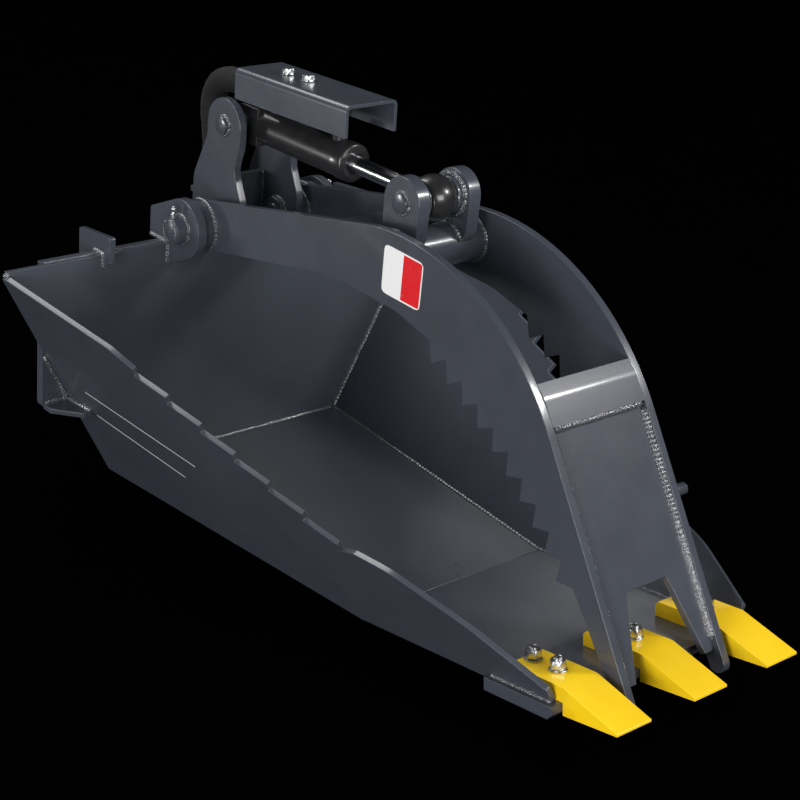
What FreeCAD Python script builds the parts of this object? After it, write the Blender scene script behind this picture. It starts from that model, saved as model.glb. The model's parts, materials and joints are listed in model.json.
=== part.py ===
import FreeCAD, Part
import math
import os
import Sketcher

# Stump bucket with a hydraulic grapple jaw, in millimetres.
# X runs across the bucket, the teeth point towards -Y and Z is up.
# The origin lies on the centre plane, at the rear lower edge of the bucket floor.
# The jaw is drawn closed, which is the resting pose.

doc = FreeCAD.newDocument("grapple_bucket")
V = FreeCAD.Vector
Place = FreeCAD.Placement
Turn = FreeCAD.Rotation
ACROSS = V(1, 0, 0)

# Driving sizes: name, value and meaning
DRIVING = [
    ("wall", 8, "shell plate thickness"),
    ("floor_half", 170, "half width of the bucket floor at the lip"),
    ("side_lean", 28.3, "outward lean of the side plates, degrees"),
    ("rear_floor", 553, "length of the level rear floor"),
    ("rise", 9.5, "upward angle of the front floor, degrees"),
    ("back_height", 355, "height of the back wall"),
    ("lip_reach", 376, "front edge of the lip bar ahead of the fold"),
    ("lip_depth", 118, "front to back size of the lip bar"),
    ("lip_half", 186, "half width of the lip bar"),
    ("lip_plate", 18, "thickness of the lip bar"),
    ("lip_proud", 2, "height of the lip bar above the floor plate"),
    ("saw_count", 7, "teeth cut in each side rim"),
    ("saw_start", 257, "first rim tooth ahead of the back wall"),
    ("saw_top", 293.5, "height of the first rim tooth"),
    ("saw_pitch", 53.5, "rim tooth pitch along the bucket"),
    ("saw_fall", 24, "drop from one rim tooth to the next"),
    ("saw_notch", 13, "depth of each rim notch"),
    ("saw_hook", 4, "forward overhang of each rim tooth"),
    ("tooth_width", 60, "width of a digging tooth"),
    ("tooth_pitch", 137, "spacing of the digging teeth"),
    ("tooth_shank", 98, "length of a tooth shank on the lip"),
    ("tooth_thick", 21, "thickness of a tooth shank"),
    ("tooth_nose", 90, "length of a tooth ahead of the lip"),
    ("bolt_dia", 12, "tooth bolt diameter"),
    ("bolt_step", 43, "distance between the two bolts of a tooth"),
    ("bolt_back", 18, "rear bolt ahead of the shank's rear edge"),
    ("nut_flats", 19, "tooth nut across flats"),
    ("nut_high", 12, "tooth nut height"),
    ("washer_dia", 24, "tooth washer diameter"),
    ("washer_thick", 2.5, "tooth washer thickness"),
    ("hitch_half", 336, "half width of the hitch plate"),
    ("hitch_plate", 15, "hitch plate thickness"),
    ("hitch_low", 126, "lower edge of the hitch plate"),
    ("ledge_plate", 12, "thickness of the hitch ledge"),
    ("ledge_out", 38, "reach of the hitch ledge behind the plate"),
    ("ledge_half", 240, "half width of the hitch ledge"),
    ("slot_apart", 360, "distance between the lock slots"),
    ("slot_length", 34, "length of a lock slot"),
    ("slot_width", 18, "width of a lock slot"),
    ("hook_out", 42, "reach of the hitch hook behind the plate"),
    ("hook_plate", 12, "thickness of the hitch hook"),
    ("hook_half", 228, "half width of the hitch hook"),
    ("wing_plate", 8, "thickness of the hitch wing plates"),
    ("tab_plate", 10, "thickness of the hitch tabs"),
    ("tab_outer", 242, "outer face of a hitch tab from the centre"),
    ("tab_out", 42, "reach of a hitch tab behind the hitch plate"),
    ("tab_rise", 30, "height of a hitch tab above the back wall"),
    ("pivot_in", 40.5, "jaw pivot ahead of the back wall"),
    ("pivot_over", 31, "jaw pivot above the back wall"),
    ("pivot_pin", 30, "jaw pivot pin diameter"),
    ("bracket_in", 115, "inner face of a pivot bracket"),
    ("bracket_plate", 15, "pivot bracket thickness"),
    ("bracket_round", 45, "radius of a pivot bracket's nose"),
    ("bracket_fall", 25, "fall of a pivot bracket to the rear, degrees"),
    ("hub_dia", 42, "outer diameter of a pivot hub"),
    ("hub_length", 20, "length of a pivot hub"),
    ("lug_in", 46, "inner face of a tower lug"),
    ("lug_plate", 12, "tower lug thickness"),
    ("tower_over", 147, "tower pin above the jaw pivot"),
    ("tower_in", 36, "tower pin ahead of the back wall"),
    ("tower_pin", 26, "tower pin diameter"),
    ("tower_round", 40, "radius of a tower lug's head"),
    ("web_rise", 54, "top of the tower web above the jaw pivot"),
    ("arm_outer", 94, "outer face of a jaw arm from the centre"),
    ("arm_plate", 12, "jaw arm thickness"),
    ("arm_round", 42, "radius of a jaw arm's pivot end"),
    ("arm_sweep", 365, "radius of a jaw arm's back"),
    ("boss_dia", 76, "diameter of a jaw arm boss"),
    ("side_play", 1.5, "sideways play beside a jaw arm boss"),
    ("bite_count", 10, "teeth cut in each jaw arm"),
    ("bite_pitch", 37.6, "spacing of the jaw arm teeth"),
    ("bite_edge", 32, "length of the rear edge of a jaw arm tooth"),
    ("bite_round", 787, "radius of the line that the jaw arm teeth follow"),
    ("tube_dia", 60, "cross tube diameter"),
    ("tube_wall", 8, "cross tube wall"),
    ("tube_in", 428, "cross tube ahead of the back wall"),
    ("tube_over", 77, "cross tube above the jaw pivot"),
    ("web_plate", 8, "thickness of the plate between the jaw arms"),
    ("web_drop", 15, "web plate below the arms' upper edges"),
    ("nose_plate", 10, "thickness of the jaw nose plates"),
    ("nose_inset", 8, "nose plate behind the arms' front edges"),
    ("nose_notch", 207, "length of the nose plate above its notch"),
    ("ear_in", 35, "inner face of a cylinder ear"),
    ("ear_plate", 20, "cylinder ear thickness"),
    ("ear_round", 36, "radius of a cylinder ear's head"),
    ("ear_ahead", 432, "ear pin ahead of the back wall"),
    ("ear_over", 72, "ear pin above the cross tube"),
    ("ear_pin", 28, "ear pin diameter"),
    ("collar_dia", 52, "diameter of the ears' inner collars"),
    ("barrel_dia", 54, "cylinder barrel diameter"),
    ("barrel_bore", 42, "cylinder bore"),
    ("barrel_reach", 239, "tower pin to the front face of the gland"),
    ("gland_dia", 59, "diameter of the gland nut"),
    ("gland_length", 30, "length of the gland nut"),
    ("rod_dia", 25, "piston rod diameter"),
    ("piston_length", 26, "piston length"),
    ("rod_inside", 60, "piston rod inside the barrel at rest"),
    ("eye_dia", 64, "outer diameter of the rod eye"),
    ("eye_bore", 44, "bore of the rod eye"),
    ("eye_width", 44, "width of the rod eye"),
    ("rear_eye", 56, "outer diameter of the barrel's rear eye"),
    ("rear_width", 46, "width of the barrel's rear eye"),
    ("guard_width", 91, "width of the cylinder guard"),
    ("guard_depth", 45, "height of the guard's sides"),
    ("guard_sheet", 5, "guard sheet thickness"),
    ("guard_length", 254, "guard length"),
    ("guard_tilt", 2.3, "upward tilt of the guard, degrees"),
    ("guard_over", 85, "guard top above the tower pin at its rear edge"),
    ("guard_rear", 4, "guard's rear edge ahead of the tower pin"),
    ("sleeve_dia", 38, "outer diameter of the hose sleeve"),
    ("knob_dia", 17, "diameter of the stop on the right arm"),
    ("run_fit", 0.05, "radial clearance of a pin in its bore"),
    ("seat_gap", 0.3, "clearance between round faces that nearly touch"),
]

sheet = doc.addObject("Spreadsheet::Sheet", "Sizes")
for row, (alias, value, meaning) in enumerate(DRIVING, start=1):
    sheet.set("A%d" % row, meaning)
    sheet.set("B%d" % row, str(value))
    sheet.setAlias("B%d" % row, alias)
doc.recompute()


class Sizes:
    """The sheet's values, read back by their aliases."""


size = Sizes()
for alias, value, meaning in DRIVING:
    setattr(size, alias, float(sheet.get(alias)))

# Heights that stand on one another
pivot_high = size.back_height + size.pivot_over
tower_high = pivot_high + size.tower_over
web_top = pivot_high + size.web_rise
tube_high = pivot_high + size.tube_over
ear_high = tube_high + size.ear_over

nodes = []


def sine(angle):
    return math.sin(math.radians(angle))


def cosine(angle):
    return math.cos(math.radians(angle))


def tangent(angle):
    return math.tan(math.radians(angle))


def rounded(corners):
    """Lines and tangent arcs of a closed outline: corners are (a, b) or (a, b, radius)."""
    stretches = []
    for i, corner in enumerate(corners):
        here = V(corner[0], corner[1], 0)
        radius = corner[2] if len(corner) > 2 else 0
        if radius == 0:
            stretches.append((here, None, here))
            continue
        back = V(corners[i - 1][0], corners[i - 1][1], 0) - here
        ahead = V(corners[(i + 1) % len(corners)][0], corners[(i + 1) % len(corners)][1], 0) - here
        back.normalize()
        ahead.normalize()
        half = back.getAngle(ahead) / 2
        inward = back + ahead
        inward.normalize()
        reach = radius / math.tan(half)
        middle = here + inward * (radius / math.sin(half) - radius)
        stretches.append((here + back * reach, middle, here + ahead * reach))
    drawn = []
    for i, (start, middle, end) in enumerate(stretches):
        if middle is not None:
            drawn.append(Part.Arc(start, middle, end))
        following = stretches[(i + 1) % len(stretches)][0]
        if (following - end).Length > 1e-6:
            drawn.append(Part.LineSegment(end, following))
    return drawn


def add_sketch(body, plane, outline, circles=()):
    """A sketch on one of the body's origin planes; circles are (a, b, size in the sheet)."""
    sketch = body.newObject("Sketcher::SketchObject", body.Name + "_sketch")
    base = [f for f in body.Origin.OriginFeatures if f.Role == plane + "_Plane"][0]
    sketch.AttachmentSupport = [(base, "")]
    sketch.MapMode = "FlatFace"
    if outline:
        sketch.addGeometry(outline, False)
    for number, (a, b, width) in enumerate(circles):
        index = sketch.addGeometry(Part.Circle(V(a, b, 0), V(0, 0, 1), 10 + number), False)
        sketch.addConstraint(Sketcher.Constraint("Diameter", index, 20 + 2 * number))
        sketch.setExpression("Constraints[%d]" % number, width)
    return sketch


def keep(thing, label):
    """Give an object its node name and list it for export."""
    thing.Label = label
    nodes.append(thing)
    return thing


def padded(label, plane, outline, circles, depth, place=Place(), kept=True):
    """One body: a sketch padded along its plane's normal by a length from the sheet."""
    body = doc.addObject("PartDesign::Body", label + "_body" if kept else label)
    sketch = add_sketch(body, plane, outline, circles)
    pad = body.newObject("PartDesign::Pad", body.Name + "_pad")
    pad.Profile = sketch
    pad.setExpression("Length", depth)
    body.Placement = place
    return keep(body, label) if kept else body


def turned(label, plane, outline, axis, place=Place(), kept=True):
    """One body: a sketch turned a full round about one of its own axes."""
    body = doc.addObject("PartDesign::Body", label + "_body" if kept else label)
    sketch = add_sketch(body, plane, outline)
    wheel = body.newObject("PartDesign::Revolution", body.Name + "_turn")
    wheel.Profile = sketch
    wheel.ReferenceAxis = (sketch, [axis])
    wheel.Angle = 360
    body.Placement = place
    return keep(body, label) if kept else body


def gathered(label, form, places):
    """One node of separate equal solids: copies of a form at several places."""
    doc.recompute()
    copies = []
    for place in places:
        shape = form.Shape.copy()
        shape.Placement = place
        copies.append(shape)
    group = doc.addObject("Part::Feature", label + "_set")
    group.Shape = Part.makeCompound(copies)
    return keep(group, label)


# Frames: the lip frame lies on the underside of the rising front floor, with its origin at the fold
LIP = Place(V(0, -size.rear_floor, 0), Turn(ACROSS, -size.rise))
slope = tangent(size.side_lean)


def to_lip(y, z):
    """A point of the bucket's long section in the lip frame."""
    local = LIP.inverse().multVec(V(0, y, z))
    return local.y, local.z


def to_side(y, z):
    """A point of the long section in a side plate's own plane."""
    along, up = to_lip(y, z)
    return along, up / cosine(size.side_lean)


def side_place(sign, inward):
    """A side plate's frame: its X runs through the plate, Y along the lip frame, Z up the slope."""
    leaned = Place(V(sign * size.floor_half, 0, 0), Turn(V(0, 1, 0), sign * size.side_lean))
    shift = 0 if sign < 0 else -inward
    return LIP * leaned * Place(V(shift, 0, 0), Turn())


# Side plates with their saw-toothed rims
rear_shift = size.wall * sine(size.side_lean) * sine(size.rise)


def rim_corners():
    """The rim from the back wall to the lip, with one hooked notch for each tooth."""
    corners = [(-rear_shift, size.back_height - 8, 6), (-size.saw_start + 42, size.saw_top + 17.5)]
    for number in range(int(size.saw_count)):
        y = -size.saw_start - number * size.saw_pitch
        z = size.saw_top - number * size.saw_fall
        corners.append((y, z))
        corners.append((y + size.saw_hook, z - size.saw_notch))
    last_y, last_z = corners[-1]
    corners.append((last_y - 33, last_z + 13, 30))
    corners.append((last_y - 96, last_z + 15, 150))
    return corners


lip_top = size.wall + size.lip_proud
front_end = LIP.multVec(V(0, 9 - size.lip_reach, lip_top))
lip_rear = size.lip_depth - size.lip_reach

side_outline = []
for corner in rim_corners():
    a, b = to_side(corner[0], corner[1])
    side_outline.append((a, b) + tuple(corner[2:]))
a, b = to_side(front_end.y + 106, front_end.z + 56)
side_outline.append((a, b, 200))
a, b = to_side(front_end.y + 3, front_end.z + 19)
side_outline.append((a, b, 4))
lean_up = 1 / cosine(size.side_lean)
side_outline.append((9 - size.lip_reach, lip_top * lean_up))
side_outline.append((lip_rear, lip_top * lean_up))
side_outline.append((lip_rear, 0))
side_outline.append((0, 0))
a, b = to_side(-rear_shift, 0)
side_outline.append((a, b))

for side, sign in (("left", -1), ("right", 1)):
    padded("side_plate_" + side, "YZ", rounded(side_outline), (), "Sizes.wall", side_place(sign, size.wall))


# Floor plates and back wall, trimmed to the side plates
def trim_tools(name, tip):
    """Blocks that stand where each side plate and all outside it lie."""
    tools = []
    reach = 900
    for side, sign in (("left", -1), ("right", 1)):
        block = doc.addObject("Part::Box", name + "_trim_" + side)
        block.Length = reach
        block.Width = 2 * reach
        block.Height = reach
        start = V(size.wall - reach, -reach, 0) if sign < 0 else V(0, -reach, 0)
        tilt = Place(V(0, 0, 0), Turn(ACROSS, tip))
        block.Placement = side_place(sign, size.wall) * tilt * Place(start, Turn())
        tools.append(block)
    return tools


def trimmed(label, plank, tools):
    """Cut both side blocks from a plank."""
    first = doc.addObject("Part::Cut", label + "_left_cut")
    first.Base = plank
    first.Tool = tools[0]
    second = doc.addObject("Part::Cut", label + "_cut")
    second.Base = first
    second.Tool = tools[1]
    return keep(second, label)


plank_half = size.floor_half + size.back_height
mitre = size.wall * tangent(size.rise / 2)
rear_profile = [(0, 0), (-size.rear_floor, 0), (mitre - size.rear_floor, size.wall), (0, size.wall)]
front_profile = [(0, 0), (lip_rear, 0), (lip_rear, size.wall), (-mitre, size.wall)]
wall_profile = [(0, size.wall), (0, size.back_height), (-size.wall, size.back_height), (-size.wall, size.wall)]
tip_angle = math.degrees(math.atan(tangent(size.rise) * lean_up))


def plank(name, profile, place):
    """A plate's long section, padded across the whole bucket before it is trimmed."""
    return padded(name, "YZ", rounded(profile), (), "2 * (Sizes.floor_half + Sizes.back_height)",
                  place * Place(V(-plank_half, 0, 0), Turn()), kept=False)


trimmed("floor_rear", plank("rear_plank", rear_profile, Place()), trim_tools("rear", tip_angle))
trimmed("floor_front", plank("front_plank", front_profile, LIP), trim_tools("front", 0))
trimmed("back_wall", plank("wall_plank", wall_profile, Place()), trim_tools("wall", tip_angle))

# Lip bar, bored for the tooth bolts
lip_under = lip_top - size.lip_plate
lip_profile = [(lip_rear, lip_under), (lip_rear, lip_top), (-size.lip_reach, lip_top),
               (-size.lip_reach, lip_under + 7), (7 - size.lip_reach, lip_under)]
lip_body = padded("lip_plank", "YZ", rounded(lip_profile), (), "2 * Sizes.lip_half",
                  LIP * Place(V(-size.lip_half, 0, 0), Turn()), kept=False)

shank_rear = size.tooth_shank - size.lip_reach
bolt_spots = []
for column in (-1, 0, 1):
    for turn in (0, 1):
        bolt_spots.append((column * size.tooth_pitch, shank_rear - size.bolt_back - turn * size.bolt_step))
head_high = size.bolt_dia / 2
hole_radius = size.bolt_dia / 2 + 0.5
drills = []
for number, (x, y) in enumerate(bolt_spots):
    hole = doc.addObject("Part::Cylinder", "lip_hole_%d" % number)
    hole.setExpression("Radius", "Sizes.bolt_dia / 2 + 0.5")
    hole.setExpression("Height", "Sizes.lip_plate + 2")
    hole.Placement = LIP * Place(V(x, y, lip_under - 1), Turn())
    sink = doc.addObject("Part::Cone", "lip_sink_%d" % number)
    sink.Radius1 = hole_radius + head_high
    sink.Radius2 = hole_radius
    sink.Height = head_high
    sink.Placement = LIP * Place(V(x, y, lip_under), Turn())
    drills += [hole, sink]
lip_drill = doc.addObject("Part::MultiFuse", "lip_drill")
lip_drill.Shapes = drills
lip = doc.addObject("Part::Cut", "lip_cut")
lip.Base = lip_body
lip.Tool = lip_drill
keep(lip, "lip_bar")

# Digging teeth: a flat bored shank, and a nose that covers the lip's front edge and tapers to its tip
tip_at = -size.lip_reach - size.tooth_nose
tooth_top = lip_top + size.tooth_thick
tooth_profile = [(shank_rear, lip_top), (shank_rear, tooth_top - 5), (shank_rear - 5, tooth_top),
                 (-size.lip_reach - 1, tooth_top), (tip_at, 1), (tip_at, -2.5),
                 (-size.lip_reach - size.seat_gap, lip_under + 1), (-size.lip_reach - size.seat_gap, lip_top)]
for name, column in (("left", -1), ("centre", 0), ("right", 1)):
    tooth = padded("tooth_" + name, "YZ", rounded(tooth_profile), (), "Sizes.tooth_width",
                   LIP * Place(V(column * size.tooth_pitch - size.tooth_width / 2, 0, 0), Turn()))
    holes = tooth.newObject("Sketcher::SketchObject", tooth.Name + "_holes")
    holes.AttachmentSupport = [([f for f in tooth.Origin.OriginFeatures if f.Role == "XY_Plane"][0], "")]
    holes.MapMode = "FlatFace"
    for turn in (0, 1):
        middle = V(size.tooth_width / 2, shank_rear - size.bolt_back - turn * size.bolt_step, 0)
        holes.addGeometry(Part.Circle(middle, V(0, 0, 1), hole_radius), False)
        holes.addConstraint(Sketcher.Constraint("Diameter", turn, 2 * hole_radius))
        holes.setExpression("Constraints[%d]" % turn, "Sizes.bolt_dia + 1")
    drill = tooth.newObject("PartDesign::Pocket", tooth.Name + "_drill")
    drill.Profile = holes
    drill.Type = 1
    drill.Midplane = True

# Tooth bolts, washers and nuts, shared by the three teeth
washer_seat = tooth_top
nut_seat = washer_seat + size.washer_thick
bolt_end = nut_seat + size.nut_high + 3
shaft = size.bolt_dia / 2
bolt_form = turned("bolt_form", "XZ",
                   rounded([(0, 0), (shaft + head_high, 0), (shaft, head_high), (shaft, bolt_end - lip_under - 1),
                            (shaft - 1, bolt_end - lip_under), (0, bolt_end - lip_under)]), "V_Axis", kept=False)
washer_form = padded("washer_form", "XY", [], ((0, 0, "Sizes.washer_dia"), (0, 0, "Sizes.bolt_dia + 1")),
                     "Sizes.washer_thick", kept=False)
hexagon = []
for corner in range(6):
    radius = size.nut_flats / 2 / cosine(30)
    hexagon.append((radius * cosine(60 * corner), radius * sine(60 * corner)))
nut_form = padded("nut_form", "XY", rounded(hexagon), ((0, 0, "Sizes.bolt_dia + 2 * Sizes.run_fit"),),
                  "Sizes.nut_high", kept=False)


def on_lip(height):
    return [LIP * Place(V(x, y, height), Turn()) for x, y in bolt_spots]


gathered("tooth_bolts", bolt_form, on_lip(lip_under))
gathered("tooth_washers", washer_form, on_lip(washer_seat))
gathered("tooth_nuts", nut_form, on_lip(nut_seat))

# Hitch plate, its top hook, lower ledge with lock slots, side wings and tabs
hitch_top = size.back_height
hitch_outline = [(-size.hitch_half, hitch_top), (size.hitch_half, hitch_top),
                 (size.hitch_half, size.hitch_low, 12), (-size.hitch_half, size.hitch_low, 12)]
padded("hitch_plate", "XZ", rounded(hitch_outline), (), "Sizes.hitch_plate",
       Place(V(0, size.hitch_plate, 0), Turn()))

hitch_back = size.hitch_plate
hook_outline = [(hitch_back, hitch_top - 4), (hitch_back + size.hook_out - 10, hitch_top - size.hook_out - 4),
                (hitch_back + size.hook_out - 10 - size.hook_plate, hitch_top - size.hook_out - 10),
                (hitch_back, hitch_top - 4 - size.hook_plate * 1.6)]
padded("hitch_hook", "YZ", rounded(hook_outline), (), "2 * Sizes.hook_half", Place(V(-size.hook_half, 0, 0), Turn()))


def slot_outline(middle_x, middle_y):
    """A round-ended slot along X."""
    reach = size.slot_length / 2
    half = size.slot_width / 2
    return rounded([(middle_x - reach, middle_y - half, half), (middle_x + reach, middle_y - half, half),
                    (middle_x + reach, middle_y + half, half), (middle_x - reach, middle_y + half, half)])


ledge_rear = hitch_back + size.ledge_out
ledge_drawn = rounded([(-size.ledge_half, hitch_back), (size.ledge_half, hitch_back),
                       (size.ledge_half, ledge_rear, 14), (-size.ledge_half, ledge_rear, 14)])
for sign in (-1, 1):
    ledge_drawn += slot_outline(sign * size.slot_apart / 2, hitch_back + size.ledge_out / 2)
padded("hitch_ledge", "XY", ledge_drawn, (), "Sizes.ledge_plate", Place(V(0, 0, size.hitch_low), Turn()))

# The wings close the corners between the hitch plate's ends and the side plates
wing_z = size.hitch_low + 2


def side_outer(y, z):
    """Half width of the bucket over the side plates at a point of the long section."""
    along, up = to_lip(y, z)
    return size.floor_half + slope * up


for side, sign in (("left", -1), ("right", 1)):
    low = side_outer(0, wing_z)
    ahead = side_outer(-58, wing_z)
    high_shift = slope * size.wing_plate
    wing = [(sign * (low + high_shift), 0), (sign * (size.hitch_half - 2), 0), (sign * (size.hitch_half - 2), -20, 4),
            (sign * (ahead + 18), -58, 4), (sign * (ahead + high_shift), -58)]
    padded("hitch_wing_" + side, "XY", rounded(wing), (), "Sizes.wing_plate", Place(V(0, 0, wing_z), Turn()))

tab_top = size.back_height + size.tab_rise
tab_rear = hitch_back + size.tab_out
tab_outline = [(-26, tab_top, 3), (tab_rear, tab_top - 8, 3), (tab_rear, hitch_top - 30, 3), (hitch_back, hitch_top - 55),
               (hitch_back, hitch_top), (-size.wall, hitch_top), (-size.wall, hitch_top - 22), (-26, hitch_top - 9, 4)]
for side, sign in (("left", -1), ("right", 1)):
    start = -size.tab_outer if sign < 0 else size.tab_outer - size.tab_plate
    padded("hitch_tab_" + side, "YZ", rounded(tab_outline), (), "Sizes.tab_plate", Place(V(start, 0, 0), Turn()))


# Pivot brackets and tower lugs stand astride the back wall and the hitch plate
def astride(rear):
    """The corners where a plate straddles the wall, from behind the hitch plate to the wall's front."""
    return [(rear, hitch_top), (-size.wall, hitch_top)]


fall = tangent(size.bracket_fall)
nose = size.bracket_round
offset = nose / cosine(size.bracket_fall)
front_y = -size.pivot_in - nose
bracket_rear = hitch_back + 25


def bracket_line(y, side):
    """Height of a bracket's upper (1) or lower (-1) straight edge."""
    return pivot_high + side * offset - fall * (y + size.pivot_in)


tip_y = -size.pivot_in - nose * cosine(size.bracket_fall)
tip_z = pivot_high + nose * sine(size.bracket_fall)
up_corner = (tip_y + nose * sine(size.bracket_fall), tip_z + nose * cosine(size.bracket_fall), nose)
low_corner = (tip_y - nose * sine(size.bracket_fall), tip_z - nose * cosine(size.bracket_fall), nose)
bracket_outline = [up_corner, (bracket_rear, bracket_line(bracket_rear, 1), 4)]
bracket_outline += astride(bracket_rear)
bracket_outline += [(-size.wall, bracket_line(-size.wall, -1)), low_corner]
pin_hole = (-size.pivot_in, pivot_high, "Sizes.pivot_pin + 2 * Sizes.run_fit")
for side, sign in (("left", -1), ("right", 1)):
    start = size.bracket_in if sign > 0 else -size.bracket_in - size.bracket_plate
    padded("pivot_bracket_" + side, "YZ", rounded(bracket_outline), (pin_hole,), "Sizes.bracket_plate",
           Place(V(start, 0, 0), Turn()))

head = size.tower_round
head_front = -size.tower_in - head
lug_outline = [(head_front, tower_high + head, head), (-size.tower_in + head, tower_high + head, head),
               (-size.tower_in + head + 1, tower_high - 25, 25), (bracket_rear - 5, web_top, 40)]
lug_outline += astride(bracket_rear - 3)
lug_outline += [(-size.wall, pivot_high - nose - 4), (front_y, pivot_high - nose - 4, nose),
                (front_y, pivot_high + 40, 30), (front_y + 22, pivot_high + 85, 40),
                (head_front, tower_high - 25, 60)]
tower_hole = (-size.tower_in, tower_high, "Sizes.tower_pin + 2 * Sizes.run_fit")
for side, sign in (("left", -1), ("right", 1)):
    start = size.lug_in if sign > 0 else -size.lug_in - size.lug_plate
    padded("tower_lug_" + side, "YZ", rounded(lug_outline), (pin_hole, tower_hole), "Sizes.lug_plate",
           Place(V(start, 0, 0), Turn()))

web_outline = [(-size.lug_in, hitch_top), (size.lug_in, hitch_top), (size.lug_in, web_top),
               (-size.lug_in, web_top)]
padded("tower_web", "XZ", rounded(web_outline), (), "Sizes.wall + 2", Place(V(0, size.wall + 2, 0), Turn()))


# Round pieces on an axis along X
def ring(label, outer, bore, length, middle, starts):
    """One node of equal rings along X: starts are their left faces."""
    form = padded(label + "_form", "YZ", [], ((0, 0, outer),) + (((0, 0, bore),) if bore else ()), length, kept=False)
    return gathered(label, form, [Place(V(x, middle[0], middle[1]), Turn()) for x in starts])


pivot = (-size.pivot_in, pivot_high)
tower = (-size.tower_in, tower_high)
ear = (-size.ear_ahead, ear_high)
bracket_out = size.bracket_in + size.bracket_plate
hub_out = bracket_out + size.hub_length
ring("pivot_hubs", "Sizes.hub_dia", "Sizes.pivot_pin + 2 * Sizes.run_fit", "Sizes.hub_length",
     pivot, (-hub_out, bracket_out))
ring("pin_collars", "Sizes.hub_dia + 4", "Sizes.pivot_pin + 2 * Sizes.run_fit", "8", pivot, (-size.lug_in, size.lug_in - 8))
pin_inner = size.lug_in - 12
ring("pivot_pins", "Sizes.pivot_pin", None, "Sizes.bracket_in + Sizes.bracket_plate + Sizes.hub_length - Sizes.lug_in + 13",
     pivot, (-hub_out - 1, pin_inner))
nipple_form = turned("nipple_form", "XZ", rounded([(0, 0), (4, 0), (4, 5), (2.5, 7), (3.5, 10), (3.5, 14), (1.5, 17), (0, 17)]),
                     "V_Axis", kept=False)
gathered("grease_nipples", nipple_form,
         [Place(V(sign * (hub_out - 6), -size.pivot_in, pivot_high + size.hub_dia / 2), Turn())
          for sign in (-1, 1)])

lug_out = size.lug_in + size.lug_plate
ring("tower_pin", "Sizes.tower_pin", None, "2 * (Sizes.lug_in + Sizes.lug_plate + 7)", tower, (-lug_out - 7,))


# Jaw arms: a swept back, a bitten lower edge and a straight tine
def polar(start, angle, length):
    """A point at a distance from another: angle 0 points forward and 90 points down, in degrees."""
    return start[0] - length * cosine(angle), start[1] - length * sine(angle)


back_slope = 12.3
front_slope = 56.9
arm_low = pivot[1] - size.arm_round
bite_start = (-550.5, pivot_high + 6.5)
bite_angle = 22.7
bite_step = math.degrees(size.bite_pitch / size.bite_round)


def bite_corners():
    """Root and tip of each tooth along an arc, with every tooth leaning fifty degrees off the arc."""
    corners = [bite_start]
    root = bite_start
    for number in range(int(size.bite_count)):
        direction = bite_angle + (number + 0.5) * bite_step
        corners.append(polar(root, direction + 50, size.bite_edge))
        root = polar(root, direction, size.bite_pitch)
        corners.append(root)
    return corners


back_at = (-14.2, pivot_high + 33.1)
nose_at = (-804.8, pivot_high - 75.9)


def back_line(y):
    """Height of the arms' straight upper edge."""
    return back_at[1] + (back_at[0] - y) * tangent(back_slope)


# The crown is the corner where the back line meets the front line
crown_y = (back_line(0) - nose_at[1] + nose_at[0] * tangent(front_slope))
crown_y /= tangent(front_slope) + tangent(back_slope)
crown_z = back_line(crown_y)
tip_height = 44
tip_front = crown_y - (crown_z - tip_height) / tangent(front_slope)
arm_end = pivot[0] + size.arm_round
arm_outline = [(arm_end + 3, back_line(arm_end + 3), 30), (crown_y, crown_z, size.arm_sweep),
               (tip_front, tip_height, 12), (tip_front + 31, tip_height + 2, 4), (tip_front + 50, tip_height + 30)]
arm_outline += list(reversed(bite_corners()))
arm_outline += [(-480, pivot_high + 22, 60), (-345, pivot_high + 25, 60), (-80, pivot_high - 28, 60),
                (arm_end, arm_low, 36)]
for side, sign in (("left", -1), ("right", 1)):
    start = -size.arm_outer if sign < 0 else size.arm_outer - size.arm_plate
    padded("jaw_arm_" + side, "YZ", rounded(arm_outline), (pin_hole,), "Sizes.arm_plate", Place(V(start, 0, 0), Turn()))

arm_inner = size.arm_outer - size.arm_plate
outer_boss = size.bracket_in - size.side_play - size.arm_outer
inner_boss = arm_inner - lug_out - size.side_play
bore = "Sizes.pivot_pin + 2 * Sizes.run_fit"
ring("arm_bosses_outer", "Sizes.boss_dia", bore, "Sizes.bracket_in - Sizes.side_play - Sizes.arm_outer", pivot,
     (-size.arm_outer - outer_boss, size.arm_outer))
ring("arm_bosses_inner", "Sizes.boss_dia - 12", bore,
     "Sizes.arm_outer - Sizes.arm_plate - Sizes.lug_in - Sizes.lug_plate - Sizes.side_play", pivot,
     (-arm_inner, lug_out + size.side_play))

# Cross tube and web between the arms
tube = (-size.tube_in, tube_high)
ring("cross_tube", "Sizes.tube_dia", "Sizes.tube_dia - 2 * Sizes.tube_wall", "2 * (Sizes.arm_outer - Sizes.arm_plate)",
     tube, (-arm_inner,))


web_front = -size.ear_ahead + size.ear_round + size.seat_gap
web_under = back_line(web_front) - size.web_drop - size.web_plate / cosine(back_slope)
web_origin = Place(V(0, web_front, web_under), Turn(ACROSS, -back_slope))
web_long = (-280 - web_front) / cosine(back_slope)
half_tongue = 38
web_plan = [(-arm_inner, 0), (arm_inner, 0), (arm_inner, web_long - 48, 20), (half_tongue, web_long, 25),
            (-half_tongue, web_long, 25), (-arm_inner, web_long - 48, 20)]
padded("jaw_web", "XY", rounded(web_plan), (), "Sizes.web_plate", web_origin)

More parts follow.
